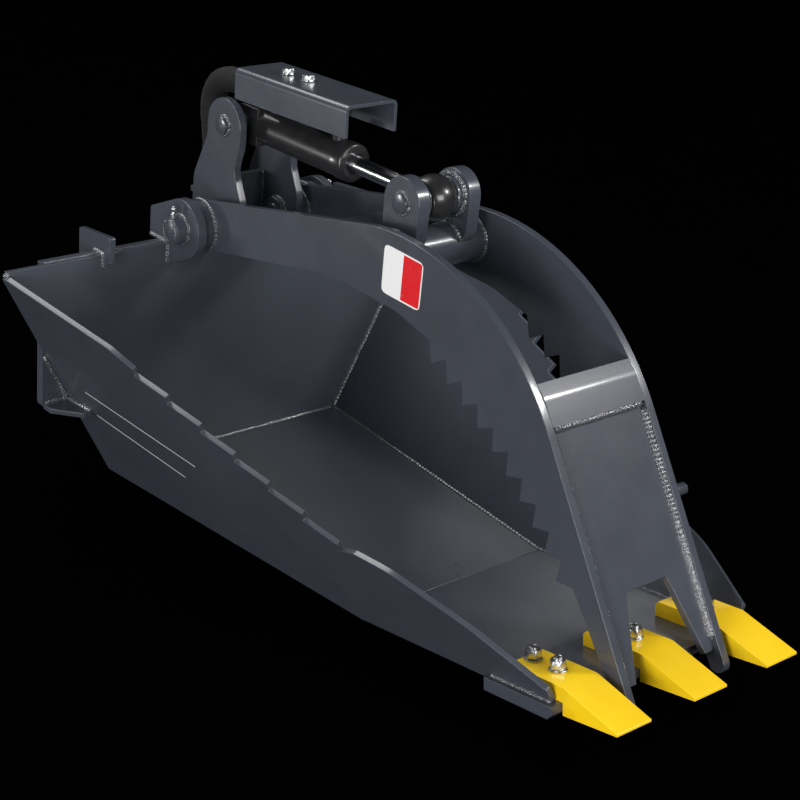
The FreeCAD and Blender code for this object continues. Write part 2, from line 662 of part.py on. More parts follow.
# Nose: a bent upper plate that follows the arms' backs and a notched lower plate between the tines
crown = V(0, crown_y, crown_z)
edge = V(0, -cosine(front_slope), -sine(front_slope))
inward = V(0, sine(front_slope), -cosine(front_slope))
turn_half = (front_slope + back_slope) / 2
arc_reach = size.arm_sweep * tangent(turn_half)
arc_end = crown + edge * arc_reach
centre = arc_end + inward * size.arm_sweep
bend_skip = 2.1
low_angle = 90 - front_slope + bend_skip
sweep = 9


def on_sweep(radius, angle):
    """A point of the arms' swept back: angle measured from forward, in degrees."""
    return V(centre.y - radius * cosine(angle), centre.z + radius * sine(angle), 0)


outer_start = on_sweep(size.arm_sweep, low_angle)
outer_mid = on_sweep(size.arm_sweep, low_angle + sweep / 2)
outer_end = on_sweep(size.arm_sweep, low_angle + sweep)
under = size.arm_sweep - size.nose_plate
inner_start = on_sweep(under, low_angle)
inner_mid = on_sweep(under, low_angle + sweep / 2)
inner_end = on_sweep(under, low_angle + sweep)
bend_drawn = [Part.Arc(outer_start, outer_mid, outer_end), Part.LineSegment(outer_end, inner_end),
              Part.Arc(inner_end, inner_mid, inner_start), Part.LineSegment(inner_start, outer_start)]
padded("nose_bend", "YZ", bend_drawn, (), "2 * (Sizes.arm_outer - Sizes.arm_plate)",
       Place(V(-arm_inner, 0, 0), Turn()))

# The lower plate is drawn in its own plane: X across, Y down the slope from the bend
nose_origin = arc_end + inward * size.nose_inset
nose_frame = Place(nose_origin, Turn(V(1, 0, 0), edge, inward, "XYZ"))
nose_start = -size.arm_sweep * tangent(bend_skip) + 0.5
nose_long = 317
leg = 64
notch_half = 36
nose_plan = [(-arm_inner, nose_start), (arm_inner, nose_start), (arm_inner, nose_long, 8), (leg, nose_long),
             (notch_half + 6, size.nose_notch + 20), (notch_half, size.nose_notch, 3),
             (-notch_half, size.nose_notch, 3), (-notch_half - 6, size.nose_notch + 20), (-leg, nose_long),
             (-arm_inner, nose_long, 8)]
padded("nose_plate", "XY", rounded(nose_plan), (), "Sizes.nose_plate", nose_frame)

# Cylinder ears on the cross tube, their inner collars and the pin
half_ear = size.ear_round
ear_block = [(ear[0] - half_ear, ear[1] + half_ear, half_ear - 1.5), (ear[0] + half_ear, ear[1] + half_ear, half_ear),
             (ear[0] + half_ear, ear[1] - 45), (tube[0] + 20, tube[1] + 7), (tube[0] - 25, tube[1] + 5),
             (ear[0] - half_ear + 3, ear[1] - 45)]
ear_hole = (ear[0], ear[1], "Sizes.ear_pin + 2 * Sizes.run_fit")
for side, sign in (("left", -1), ("right", 1)):
    start = size.ear_in if sign > 0 else -size.ear_in - size.ear_plate
    blank = padded("ear_blank_" + side, "YZ", rounded(ear_block), (ear_hole,), "Sizes.ear_plate",
                   Place(V(start, 0, 0), Turn()), kept=False)
    saddle = doc.addObject("Part::Cylinder", "ear_saddle_" + side)
    saddle.setExpression("Radius", "Sizes.tube_dia / 2 + Sizes.seat_gap")
    saddle.setExpression("Height", "Sizes.ear_plate + 2")
    saddle.Placement = Place(V(start - 1, tube[0], tube[1]), Turn(V(0, 1, 0), 90))
    shaped = doc.addObject("Part::Cut", "ear_cut_" + side)
    shaped.Base = blank
    shaped.Tool = saddle
    keep(shaped, "cylinder_ear_" + side)

ring("ear_collars", "Sizes.collar_dia", "Sizes.ear_pin + 2 * Sizes.run_fit", "Sizes.ear_in - Sizes.eye_width / 2 - 1",
     ear, (-size.ear_in, size.eye_width / 2 + 1))
ear_out = size.ear_in + size.ear_plate
ring("ear_pin", "Sizes.ear_pin", None, "2 * (Sizes.ear_in + Sizes.ear_plate) + 12", ear, (-ear_out - 6,))

# Stop knob on the right arm
ring("arm_knob", "Sizes.knob_dia", None, "20", (-833, pivot_high - 138), (size.arm_outer,))

# Barrel assembly, drawn along the line from the tower pin (its local origin) towards the ear pin (-Y)
reach_y = ear[0] - tower[0]
reach_z = ear[1] - tower[1]
pin_apart = math.hypot(reach_y, reach_z)
CYL = Place(V(0, tower[0], tower[1]), Turn(ACROSS, -math.degrees(math.atan2(reach_z, -reach_y))))
half_eye = size.rear_eye / 2
eye_front = half_eye + 6
cap_at = eye_front + 12
gland_rear = size.barrel_reach - size.gland_length
barrel_radius = size.barrel_dia / 2
bore_radius = size.barrel_bore / 2
barrel_half = [(0, -eye_front), (barrel_radius, -eye_front), (barrel_radius, -gland_rear),
               (bore_radius, -gland_rear), (bore_radius, -cap_at), (0, -cap_at)]
turned("barrel_tube", "XY", rounded(barrel_half), "V_Axis", CYL)

eye_block = [(half_eye, half_eye, half_eye), (half_eye, -half_eye, half_eye),
             (-eye_front, -half_eye), (-eye_front, half_eye)]
padded("barrel_eye", "YZ", rounded(eye_block), ((0, 0, "Sizes.tower_pin + 2 * Sizes.run_fit"),),
       "Sizes.rear_width", CYL * Place(V(-size.rear_width / 2, 0, 0), Turn()))

gland_radius = size.gland_dia / 2
rod_hole = size.rod_dia / 2 + size.run_fit
gland_half = [(rod_hole, -gland_rear), (gland_radius, -gland_rear), (gland_radius, 4 - size.barrel_reach),
              (gland_radius - 4, -size.barrel_reach), (rod_hole + 3, -size.barrel_reach),
              (rod_hole, 3 - size.barrel_reach)]
turned("gland_nut", "XY", rounded(gland_half), "V_Axis", CYL)

# Ports on the barrel's upper side, with elbows for the hoses
rear_port = cap_at + 3
front_port = gland_rear - 14
port_width = 22
pipe_high = 17
elbow_long = 14


def elbow(name, at, high):
    """A round boss seated on the barrel with a stub that points to the rear."""
    post = doc.addObject("Part::Cylinder", name + "_post")
    post.Radius = port_width / 2
    post.Height = barrel_radius + high + 8
    post.Placement = CYL * Place(V(0, -at, 0), Turn())
    stub = doc.addObject("Part::Cylinder", name + "_stub")
    stub.Radius = 8
    stub.Height = elbow_long
    stub.Placement = CYL * Place(V(0, -at, barrel_radius + high), Turn(ACROSS, -90))
    joined = doc.addObject("Part::MultiFuse", name + "_joined")
    joined.Shapes = [post, stub]
    core = doc.addObject("Part::Cylinder", name + "_core")
    core.setExpression("Radius", "Sizes.barrel_dia / 2 + Sizes.seat_gap")
    core.Height = 4 * port_width
    core.Placement = CYL * Place(V(0, 2 * port_width - at, 0), Turn(ACROSS, 90))
    bent = doc.addObject("Part::Cut", name + "_cut")
    bent.Base = joined
    bent.Tool = core
    return keep(bent, name)


elbow("port_elbow_rear", rear_port, pipe_high)
elbow("port_elbow_front", front_port, pipe_high - 3)

# Guard: a folded channel over the cylinder, on a bar and a web that stand on the barrel
guard_top = Place(V(0, tower[0] - size.guard_rear, tower[1] + size.guard_over), Turn(ACROSS, -size.guard_tilt))
half = size.guard_width / 2
sheet_in = half - size.guard_sheet
channel = [(-half, 0, 9), (half, 0, 9), (half, -size.guard_depth), (sheet_in, -size.guard_depth),
           (sheet_in, -size.guard_sheet, 4), (-sheet_in, -size.guard_sheet, 4), (-sheet_in, -size.guard_depth),
           (-half, -size.guard_depth)]
channel_blank = padded("guard_blank", "XZ", rounded(channel), (), "Sizes.guard_length", guard_top, kept=False)
guard_bolts = (65.5, 112)
bolt_hole = 5.5
guard_drills = []
for number, along in enumerate(guard_bolts):
    hole = doc.addObject("Part::Cylinder", "guard_hole_%d" % number)
    hole.Radius = bolt_hole
    hole.Height = 40
    hole.Placement = guard_top * Place(V(0, -along, -30), Turn())
    guard_drills.append(hole)
guard_drill = doc.addObject("Part::MultiFuse", "guard_drill")
guard_drill.Shapes = guard_drills
guard = doc.addObject("Part::Cut", "guard_cut")
guard.Base = channel_blank
guard.Tool = guard_drill
keep(guard, "cylinder_guard")

bar_thick = 10
bar_half = 22
bar_from = guard_bolts[0] - 20
bar_to = guard_bolts[1] + 20
bar_plan = [(-bar_half, -bar_from, 4), (bar_half, -bar_from, 4), (bar_half, -bar_to, 4), (-bar_half, -bar_to, 4)]
bar_holes = tuple((0, -along, "11") for along in guard_bolts)
padded("guard_bar", "XY", rounded(bar_plan), bar_holes, "10",
       guard_top * Place(V(0, 0, -size.guard_sheet - bar_thick), Turn()))


def to_barrel(along, down):
    """A point of the guard's long section in the barrel's frame."""
    local = (CYL.inverse() * guard_top).multVec(V(0, -along, -down))
    return local.y, local.z


web_half = 5
bar_low = size.guard_sheet + bar_thick
stand_outline = [to_barrel(bar_from + 18, bar_low), to_barrel(bar_to - 8, bar_low)]
stand_outline += [(stand_outline[1][0], barrel_radius), (stand_outline[0][0], barrel_radius)]
stand_blank = padded("stand_blank", "YZ", rounded(stand_outline), (), "10",
                     CYL * Place(V(-web_half, 0, 0), Turn()), kept=False)
stand_cut = doc.addObject("Part::Cut", "stand_cut")
stand_cut.Base = stand_blank
stand_cut.Tool = guard_drill
keep(stand_cut, "guard_stand")

shank_long = size.guard_sheet + bar_thick
bolt_head = 7
guard_bolt = turned("guard_bolt_form", "XZ",
                    rounded([(0, -shank_long), (5, -shank_long), (5, 2), (8.5, 2), (8.5, 1 + bolt_head),
                             (7.5, 2 + bolt_head), (0, 2 + bolt_head)]), "V_Axis", kept=False)
guard_washer = padded("guard_washer_form", "XY", [], ((0, 0, "21"), (0, 0, "11")), "2", kept=False)
bolt_places = [guard_top * Place(V(0, -along, 0), Turn()) for along in guard_bolts]
gathered("guard_bolts", guard_bolt, bolt_places)
gathered("guard_washers", guard_washer, bolt_places)

# Rod, piston and rod eye slide together
rod_start = size.barrel_reach - size.rod_inside
eye_radius = size.eye_dia / 2
neck_long = eye_radius + 12
rod_radius = size.rod_dia / 2
rod_half = [(0, -rod_start), (rod_radius, -rod_start), (rod_radius, neck_long - pin_apart), (0, neck_long - pin_apart)]
turned("piston_rod", "XY", rounded(rod_half), "V_Axis", CYL)
piston_radius = bore_radius - 0.1
piston_rear = -rod_start - 2
piston_front = piston_rear - size.piston_length
piston_inner = rod_radius + size.run_fit
piston_half = [(piston_inner, piston_rear), (piston_radius, piston_rear), (piston_radius, piston_front),
               (piston_inner, piston_front)]
turned("piston", "XY", rounded(piston_half), "V_Axis", CYL)

eye_ring = doc.addObject("Part::Cylinder", "rod_eye_ring")
eye_ring.setExpression("Radius", "Sizes.eye_dia / 2")
eye_ring.setExpression("Height", "Sizes.eye_width")
eye_ring.Placement = CYL * Place(V(-size.eye_width / 2, -pin_apart, 0), Turn(V(0, 1, 0), 90))
eye_neck = doc.addObject("Part::Cone", "rod_eye_neck")
eye_neck.Radius1 = size.eye_width / 2
eye_neck.Radius2 = rod_radius + 5
eye_neck.Height = neck_long
eye_neck.Placement = CYL * Place(V(0, -pin_apart, 0), Turn(ACROSS, -90))
eye_joined = doc.addObject("Part::MultiFuse", "rod_eye_joined")
eye_joined.Shapes = [eye_ring, eye_neck]
eye_hole = doc.addObject("Part::Cylinder", "rod_eye_hole")
eye_hole.setExpression("Radius", "Sizes.eye_bore / 2")
eye_hole.setExpression("Height", "Sizes.eye_width + 2")
eye_hole.Placement = CYL * Place(V(-size.eye_width / 2 - 1, -pin_apart, 0), Turn(V(0, 1, 0), 90))
rod_eye = doc.addObject("Part::Cut", "rod_eye_cut")
rod_eye.Base = eye_joined
rod_eye.Tool = eye_hole
keep(rod_eye, "rod_eye")


# Hoses: straight runs joined by tangent arcs
def hose(label, points, diameter):
    """A round hose along hand-placed points, with an arc as large as each corner's runs allow."""
    corners = [V(*point) for point in points]
    edges = []
    last = corners[0]
    for i in range(1, len(corners) - 1):
        back = corners[i - 1] - corners[i]
        ahead = corners[i + 1] - corners[i]
        shorter = min(back.Length, ahead.Length)
        back.normalize()
        ahead.normalize()
        half = back.getAngle(ahead) / 2
        reach = 0.45 * shorter
        radius = reach * math.tan(half)
        bisector = back + ahead
        bisector.normalize()
        start = corners[i] + back * reach
        middle = corners[i] + bisector * (radius / math.sin(half) - radius)
        end = corners[i] + ahead * reach
        edges.append(Part.LineSegment(last, start).toShape())
        edges.append(Part.Arc(start, middle, end).toShape())
        last = end
    edges.append(Part.LineSegment(last, corners[-1]).toShape())
    path = Part.Wire(edges)
    circle = Part.Wire([Part.makeCircle(diameter / 2, corners[0], corners[1] - corners[0])])
    tube_shape = path.makePipeShell([circle], True, True)
    node = doc.addObject("Part::Feature", label + "_run")
    node.Shape = tube_shape
    return keep(node, label)


sleeve_low = pivot_high + 16
sleeve_back = 62
hose("hose_sleeve_rear", [(0, 43, tower_high + 43), (0, 64, tower_high + 32), (0, 78, tower_high),
                          (0, sleeve_back, tower_high - 73), (0, sleeve_back, sleeve_low)], size.sleeve_dia)
sleeve_high = tower[1] + barrel_radius + pipe_high + 4
hose("hose_sleeve_front", [(0, tower[0] - rear_port + elbow_long + 2 * size.seat_gap, sleeve_high), (0, tower[0] + 33, sleeve_high)],
     size.sleeve_dia)

# Hose couplers on a shelf behind the tower web
shelf_high = 8
shelf_rear = sleeve_back + 24
shelf_plan = [(-30, size.wall + 2), (30, size.wall + 2), (30, shelf_rear, 8), (-30, shelf_rear, 8)]
padded("coupler_shelf", "XY", rounded(shelf_plan), (), "8", Place(V(0, 0, sleeve_low - shelf_high), Turn()))
coupler_half = [(0, 0), (10, 0), (14, 4), (14, 22), (11, 24), (11, 34), (0, 34)]
coupler_form = turned("coupler_form", "XZ", rounded(coupler_half), "V_Axis", kept=False)
gathered("hose_couplers", coupler_form,
         [Place(V(x, sleeve_back, sleeve_low - shelf_high - 34), Turn()) for x in (-15, 15)])

doc.recompute()

# Check every object before anything is written
for thing in doc.Objects:
    if "Invalid" in thing.State or "Error" in thing.State:
        raise RuntimeError("failed object: " + thing.Name)
for thing in nodes:
    if thing.Shape.isNull() or not thing.Shape.isValid() or not thing.Shape.Solids:
        raise RuntimeError("bad shape: " + thing.Label)

os.makedirs("parts", exist_ok=True)
for thing in nodes:
    thing.Shape.exportStep("parts/" + thing.Label + ".step")
print("%d nodes written" % len(nodes))
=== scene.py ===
import json
import math

import bmesh
import bpy
import numpy as np
from mathutils import Matrix


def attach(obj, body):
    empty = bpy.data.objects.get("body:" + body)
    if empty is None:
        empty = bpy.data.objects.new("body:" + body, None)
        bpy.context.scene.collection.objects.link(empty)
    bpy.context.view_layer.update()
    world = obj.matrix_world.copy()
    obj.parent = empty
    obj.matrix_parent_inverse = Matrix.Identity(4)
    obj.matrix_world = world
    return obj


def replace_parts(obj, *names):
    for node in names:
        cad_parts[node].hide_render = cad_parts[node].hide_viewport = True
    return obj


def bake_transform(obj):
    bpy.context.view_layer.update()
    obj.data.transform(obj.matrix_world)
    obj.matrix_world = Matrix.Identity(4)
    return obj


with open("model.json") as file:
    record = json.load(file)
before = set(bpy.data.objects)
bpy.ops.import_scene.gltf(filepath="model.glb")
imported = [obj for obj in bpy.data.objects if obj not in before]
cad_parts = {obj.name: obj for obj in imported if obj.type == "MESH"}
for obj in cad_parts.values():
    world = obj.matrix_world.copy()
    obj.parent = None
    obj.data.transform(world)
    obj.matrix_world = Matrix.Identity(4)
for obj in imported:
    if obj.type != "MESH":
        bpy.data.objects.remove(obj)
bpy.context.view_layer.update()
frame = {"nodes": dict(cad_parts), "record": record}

# %% [markdown]
# A stump grapple bucket is a welded steel trough with saw-toothed rims, three bolted
# teeth and a jaw that a hydraulic cylinder closes over the load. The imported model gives
# every plate, pin and tube at its true size. This file gives them their looks: rounded
# plate edges, weld beads, fasteners, the hose, the paint, the lights and the camera.
# All values in a cell are millimetres where the name says mm, because the drawings are.

# %% Units and the list of bodies
MM = 0.001
NODES = frame["nodes"]
BODY_OF = {}
for body_name, members in frame["record"]["behaviour"]["bodies"].items():
    for member in members:
        BODY_OF[member] = body_name

# %% [markdown]
# The camera stands in front of the near side of the lip and looks down a little. Its
# place and its three axes were worked out from straight edges of the object, so the
# matrix is written out: its columns point right, up and back.

# %% Camera
CAMERA_PLACE = (-1.623707, -2.172684, 1.309429)
CAMERA_RIGHT = (0.758474, -0.646239, 0.084212)
CAMERA_UP = (0.209164, 0.363774, 0.907700)
CAMERA_BACK = (-0.617226, -0.670853, 0.411083)
IMAGE_WIDTH = 800
FOCAL_PIXELS = 1870.0
CENTRE_PIXELS = (401.87, 400.36)

camera_data = bpy.data.cameras.new("studio_camera")
camera_data.sensor_width = 36
camera_data.lens = FOCAL_PIXELS / IMAGE_WIDTH * camera_data.sensor_width
camera_data.shift_x = (IMAGE_WIDTH / 2 - CENTRE_PIXELS[0]) / IMAGE_WIDTH
camera_data.shift_y = (CENTRE_PIXELS[1] - IMAGE_WIDTH / 2) / IMAGE_WIDTH
camera = bpy.data.objects.new("studio_camera", camera_data)
bpy.context.scene.collection.objects.link(camera)
placement = np.eye(4)
placement[:3, 0] = CAMERA_RIGHT
placement[:3, 1] = CAMERA_UP
placement[:3, 2] = CAMERA_BACK
placement[:3, 3] = CAMERA_PLACE
camera.matrix_world = Matrix(placement.tolist())
bpy.context.scene.camera = camera
bpy.context.scene.view_settings.view_transform = "Standard"
print("lens", round(camera_data.lens, 2), "mm")

# %% [markdown]
# Shader maths reads best as sums. A small class holds a socket, and each operator that
# it is used with adds one Math node. The reflected forms let a number stand first, so
# that 1 - mask works as well as mask - 1.

# %% Sums on sockets
class Signal:
    """A value in a material that can be added, taken away, multiplied and divided."""

    def __init__(self, finish, socket):
        self.finish = finish
        self.socket = socket

    def _math(self, operation, first, second):
        return self.finish.node("ShaderNodeMath", {"operation": operation}, {0: first, 1: second})["Value"]

    def __add__(self, other):
        return self._math("ADD", self, other)

    __radd__ = __add__

    def __sub__(self, other):
        return self._math("SUBTRACT", self, other)

    def __rsub__(self, other):
        return self._math("SUBTRACT", other, self)

    def __mul__(self, other):
        return self._math("MULTIPLY", self, other)

    __rmul__ = __mul__

    def __gt__(self, other):
        return self._math("GREATER_THAN", self, other)

    def power(self, exponent):
        return self._math("POWER", self, exponent)

    def sine(self):
        return self._math("SINE", self, 0)


# %% [markdown]
# A finish is one material. Its node method takes a node's type, the settings that must
# come first, and then a value or a link for each socket.

# %% One material
class Finish:
    """A procedural material built round one Principled shader."""

    def __init__(self, name, **constants):
        self.material = bpy.data.materials.new(name)
        self.material.use_nodes = True
        self.tree = self.material.node_tree
        self.shader = self.tree.nodes["Principled BSDF"]
        for socket, value in constants.items():
            self.shader.inputs[socket.replace("_", " ")].default_value = value

    def node(self, kind, settings=None, sockets=None):
        """Adds a node and gives its outputs as signals, by name."""
        made = self.tree.nodes.new(kind)
        for name, value in (settings or {}).items():
            if name == "stops":
                self.set_stops(made, value)
            else:
                setattr(made, name, value)
        for key, value in (sockets or {}).items():
            if isinstance(value, Signal):
                self.tree.links.new(value.socket, made.inputs[key])
            else:
                made.inputs[key].default_value = value
        return {output.name: Signal(self, output) for output in made.outputs if output.enabled}

    def set_stops(self, ramp, stops):
        """Gives a colour ramp its stops: position and grey level."""
        elements = ramp.color_ramp.elements
        while len(elements) < len(stops):
            elements.new(0.5)
        for element, (position, level) in zip(elements, stops):
            element.position = position
            element.color = (level, level, level, 1)

    def feed(self, socket, signal):
        self.tree.links.new(signal.socket, self.shader.inputs[socket])

    def place(self):
        """Object coordinates, in metres."""
        return self.node("ShaderNodeTexCoord")["Object"]

    def noise(self, scale, detail=3.0, roughness=0.5, place=None):
        """Smooth noise with about scale lumps to a metre."""
        sockets = {"Vector": place or self.place(), "Scale": scale, "Detail": detail,
                   "Roughness": roughness}
        return self.node("ShaderNodeTexNoise", {}, sockets)["Fac"]

    def ramp(self, signal, *stops):
        return self.node("ShaderNodeValToRGB", {"stops": stops}, {"Fac": signal})["Color"]

    def mix(self, factor, dark, light):
        """Blends two colours."""
        made = self.tree.nodes.new("ShaderNodeMix")
        made.data_type = "RGBA"
        for place, value in ((0, factor), (6, dark), (7, light)):
            if isinstance(value, Signal):
                self.tree.links.new(value.socket, made.inputs[place])
            else:
                made.inputs[place].default_value = value
        return Signal(self, made.outputs[2])

    def bump(self, height, strength, distance):
        """Feeds the shader's normal with a relief of that depth in metres."""
        sockets = {"Height": height, "Strength": strength, "Distance": distance}
        self.feed("Normal", self.node("ShaderNodeBump", {}, sockets)["Normal"])


def colour(red, green, blue):
    return (red, green, blue, 1.0)


# %% [markdown]
# The plates have a slate-grey satin coat. Sprayed and baked paint is never quite even:
# its colour drifts a little over a hand's width, its surface has a fine orange peel, and
# dust and handling leave duller clouds. Three noises of different size do that.

# %% Slate coat
def slate_coat(name="slate_coat", base=(0.052, 0.058, 0.074)):
    """Satin grey paint: wide drift in colour, clouds in gloss, orange peel in the relief."""
    finish = Finish(name, Metallic=0.0, IOR=1.5, Coat_Roughness=0.10)
    drift = finish.noise(5.0, 2.0)
    clouds = finish.noise(23.0, 4.0, 0.6)
    specks = finish.noise(900.0, 1.0)
    dark = colour(*(0.88 * c for c in base))
    light = colour(*(1.13 * c for c in base))
    tone = finish.mix(finish.ramp(drift * 0.6 + clouds * 0.4, (0.3, 0.0), (0.7, 1.0)), dark, light)
    dust = finish.ramp(specks, (0.70, 0.0), (0.78, 0.35))
    finish.feed("Base Color", finish.mix(dust, tone, colour(0.16, 0.165, 0.18)))
    finish.feed("Roughness", clouds * 0.12 + 0.24)
    finish.shader.inputs["Coat Weight"].default_value = 0.35
    finish.bump(finish.noise(650.0, 2.0), 0.16, 0.0004)
    return finish.material


def weld_coat():
    """The same paint over a weld: glossier, because it runs thick there, on a skin full of ripples."""
    finish = Finish("weld_coat", Metallic=0.6, IOR=1.5, Coat_Roughness=0.03)
    ripples = finish.noise(420.0, 3.0, 0.6)
    finish.feed("Base Color", finish.mix(ripples, colour(0.055, 0.060, 0.072), colour(0.30, 0.31, 0.34)))
    finish.feed("Roughness", ripples * 0.12 + 0.08)
    finish.shader.inputs["Coat Weight"].default_value = 1.0
    finish.bump(ripples, 1.0, 0.0016)
    return finish.material


SLATE = slate_coat()
WELD = weld_coat()

# %% [markdown]
# The teeth are cast steel with a thick yellow coat. The coat is rougher than on plate,
# and small chips in it show the dark primer.

# %% Yellow coat
def yellow_coat():
    """Yellow paint over a cast skin: grainy relief and small chips that show dark primer."""
    finish = Finish("yellow_coat", Metallic=0.0, IOR=1.5, Coat_Roughness=0.2)
    drift = finish.noise(14.0, 3.0)
    tone = finish.mix(drift, colour(0.86, 0.52, 0.004), colour(0.98, 0.67, 0.012))
    chips = finish.ramp(finish.noise(95.0, 5.0, 0.65), (0.70, 0.0), (0.73, 0.8))
    finish.feed("Base Color", finish.mix(chips, tone, colour(0.55, 0.33, 0.02)))
    finish.feed("Roughness", drift * 0.12 + 0.28)
    finish.shader.inputs["Coat Weight"].default_value = 0.3
    finish.bump(finish.noise(330.0, 4.0, 0.6), 0.3, 0.0006)
    return finish.material


YELLOW = yellow_coat()

# %% [markdown]
# The cylinder comes from another maker and keeps its own black coat, glossier than the
# plates. Its rod is hard chrome: a nearly even mirror with fine grinding marks round it.

# %% Black coat, chrome and zinc
def black_coat():
    """Black enamel with faint dust."""
    finish = Finish("black_coat", Metallic=0.0, IOR=1.5, Coat_Roughness=0.12)
    clouds = finish.noise(40.0, 4.0, 0.6)
    finish.feed("Base Color", finish.mix(clouds, colour(0.010, 0.010, 0.011), colour(0.028, 0.028, 0.030)))
    finish.feed("Roughness", clouds * 0.16 + 0.24)
    finish.shader.inputs["Coat Weight"].default_value = 0.4
    finish.bump(finish.noise(420.0, 2.0), 0.12, 0.0004)
    return finish.material


def hard_chrome():
    """Chrome with rings left by grinding: noise squeezed along the rod."""
    finish = Finish("hard_chrome", Metallic=1.0, IOR=2.5)
    place = finish.place()
    squeeze = {"Vector": place, "Scale": (20.0, 1500.0, 20.0)}
    stretched = finish.node("ShaderNodeMapping", {}, squeeze)["Vector"]
    rings = finish.noise(1.0, 2.0, 0.5, stretched)
    finish.feed("Base Color", finish.mix(rings, colour(0.72, 0.73, 0.75), colour(0.86, 0.87, 0.88)))
    finish.feed("Roughness", rings * 0.08 + 0.15)
    finish.bump(rings, 0.05, 0.0002)
    return finish.material


def zinc_plate():
    """Bright zinc: small cloudy spangles in colour and gloss."""
    finish = Finish("zinc_plate", Metallic=1.0, IOR=2.0)
    cells = {"Vector": finish.place(), "Scale": 420.0}
    spangle = finish.node("ShaderNodeTexVoronoi", {}, cells)["Distance"]
    clouds = finish.noise(120.0, 4.0, 0.6)
    tone = finish.mix(clouds, colour(0.50, 0.51, 0.53), colour(0.80, 0.81, 0.82))
    finish.feed("Base Color", tone)
    finish.feed("Roughness", spangle * 0.2 + clouds * 0.15 + 0.14)
    finish.bump(clouds, 0.2, 0.0003)
    return finish.material


BLACK = black_coat()
CHROME = hard_chrome()
ZINC = zinc_plate()
SLOT_FINISH = {"slate_paint": SLATE, "yellow_paint": YELLOW, "black_paint": BLACK, "rod_chrome": CHROME,
               "turned_steel": ZINC, "zinc": ZINC}
print("finishes:", ", ".join(sorted(SLOT_FINISH)))

# %% [markdown]
# A burnt or sawn plate never has a knife edge: paint and grinding round it by about a
# millimetre, and that round catches the light all along the rims. A CAD node's mesh is
# left as it is, so each node is copied, its loose triangles are merged and flat
# faces joined, and a Bevel modifier rounds what turns by more than 30 degrees.

# %% Rounded copies of the plates
def dressed(node, finish=None, round_mm=1.0, segments=2):
    """A merged copy of a CAD node with rounded edges, which stands for the node."""
    slot = SLOT_OF[node]
    source = NODES[node]
    mesh = source.data.copy()
    form = bmesh.new()
    form.from_mesh(mesh)
    bmesh.ops.remove_doubles(form, verts=form.verts, dist=2e-6)
    bmesh.ops.dissolve_limit(form, angle_limit=math.radians(0.8), verts=form.verts, edges=form.edges)
    form.to_mesh(mesh)
    form.free()
    mesh.materials.clear()
    mesh.materials.append(finish or SLOT_FINISH[slot])
    mesh.shade_smooth()
    piece = bpy.data.objects.new(node + "_dressed", mesh)
    bpy.context.scene.collection.objects.link(piece)
    edge = piece.modifiers.new("rounded edges", "BEVEL")
    edge.width = round_mm * MM
    edge.segments = segments
    edge.limit_method = "ANGLE"
    edge.angle_limit = math.radians(30)
    edge.harden_normals = True
    edge.miter_outer = "MITER_ARC"
    flat = piece.modifiers.new("flat faces", "WEIGHTED_NORMAL")
    flat.weight = 100
    flat.keep_sharp = True
    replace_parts(piece, node)
    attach(piece, BODY_OF[node])
    return piece


SLOT_OF = {entry["node"]: entry["material_slot"] for entry in frame["record"]["subparts"]}
REPLACED_LATER = {"hose_sleeve_rear", "hose_sleeve_front", "tooth_nuts", "tooth_washers", "tooth_bolts",
                  "guard_bolts", "guard_washers", "grease_nipples", "pivot_pins", "tower_pin", "ear_pin",
                  "arm_knob", "gland_nut", "rod_eye", "ear_collars", "nose_bend"}
ROUND_MM = {"side_plate_left": 0.8, "side_plate_right": 0.8, "tooth_left": 2.2, "tooth_centre": 2.2,
            "tooth_right": 2.2, "piston_rod": 0.5, "barrel_eye": 1.5, "lip_bar": 1.5, "cylinder_guard": 0.8}
for node in sorted(NODES):
    if node in REPLACED_LATER:
        continue
    dressed(node, round_mm=ROUND_MM.get(node, 1.0))
print(len(NODES) - len(REPLACED_LATER), "nodes dressed")

# %% [markdown]
# New pieces are grids of points. A grid with rows that run along a piece and columns
# that go round it becomes a closed skin when its last column joins its first and each
# end is drawn in to a pole.

# %% Grids into meshes
SHARP_DEGREES = 38


def from_faces(name, points, face_list, finish, body):
    """Puts points and faces in an object at the origin that rides on a body."""
    mesh = bpy.data.meshes.new(name)
    mesh.from_pydata(points.tolist(), [], face_list)
    form = bmesh.new()
    form.from_mesh(mesh)
    bmesh.ops.recalc_face_normals(form, faces=form.faces)
    form.to_mesh(mesh)
    form.free()
    mesh.materials.append(finish)
    mesh.shade_smooth()
    mesh.set_sharp_from_angle(angle=math.radians(SHARP_DEGREES))
    piece = bpy.data.objects.new(name, mesh)
    bpy.context.scene.collection.objects.link(piece)
    if body:
        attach(piece, body)
    return piece


def merged(name, parts, finish, body):
    """One object from several grids, each closed round with poles at its ends."""
    points, face_list, start = [], [], 0
    for grid in parts:
        rows, columns = grid.shape[:2]
        row, column = np.meshgrid(np.arange(rows - 1), np.arange(columns), indexing="ij")
        right = (column + 1) % columns
        here, below = row * columns, (row + 1) * columns
        quads = np.stack([here + column, here + right, below + right, below + column], axis=-1)
        quads = quads.reshape(-1, 4)
        around = np.arange(columns)
        following = (around + 1) % columns
        first, last, end = rows * columns, rows * columns + 1, (rows - 1) * columns
        first_cap = np.stack([np.full(columns, first), following, around], axis=-1)
        last_cap = np.stack([np.full(columns, last), end + around, end + following], axis=-1)
        face_list += (quads + start).tolist() + (first_cap + start).tolist() + (last_cap + start).tolist()
        points += [grid.reshape(-1, 3), grid[0].mean(axis=0)[None], grid[-1].mean(axis=0)[None]]
        start += rows * columns + 2
    return from_faces(name, np.concatenate(points), face_list, finish, body)


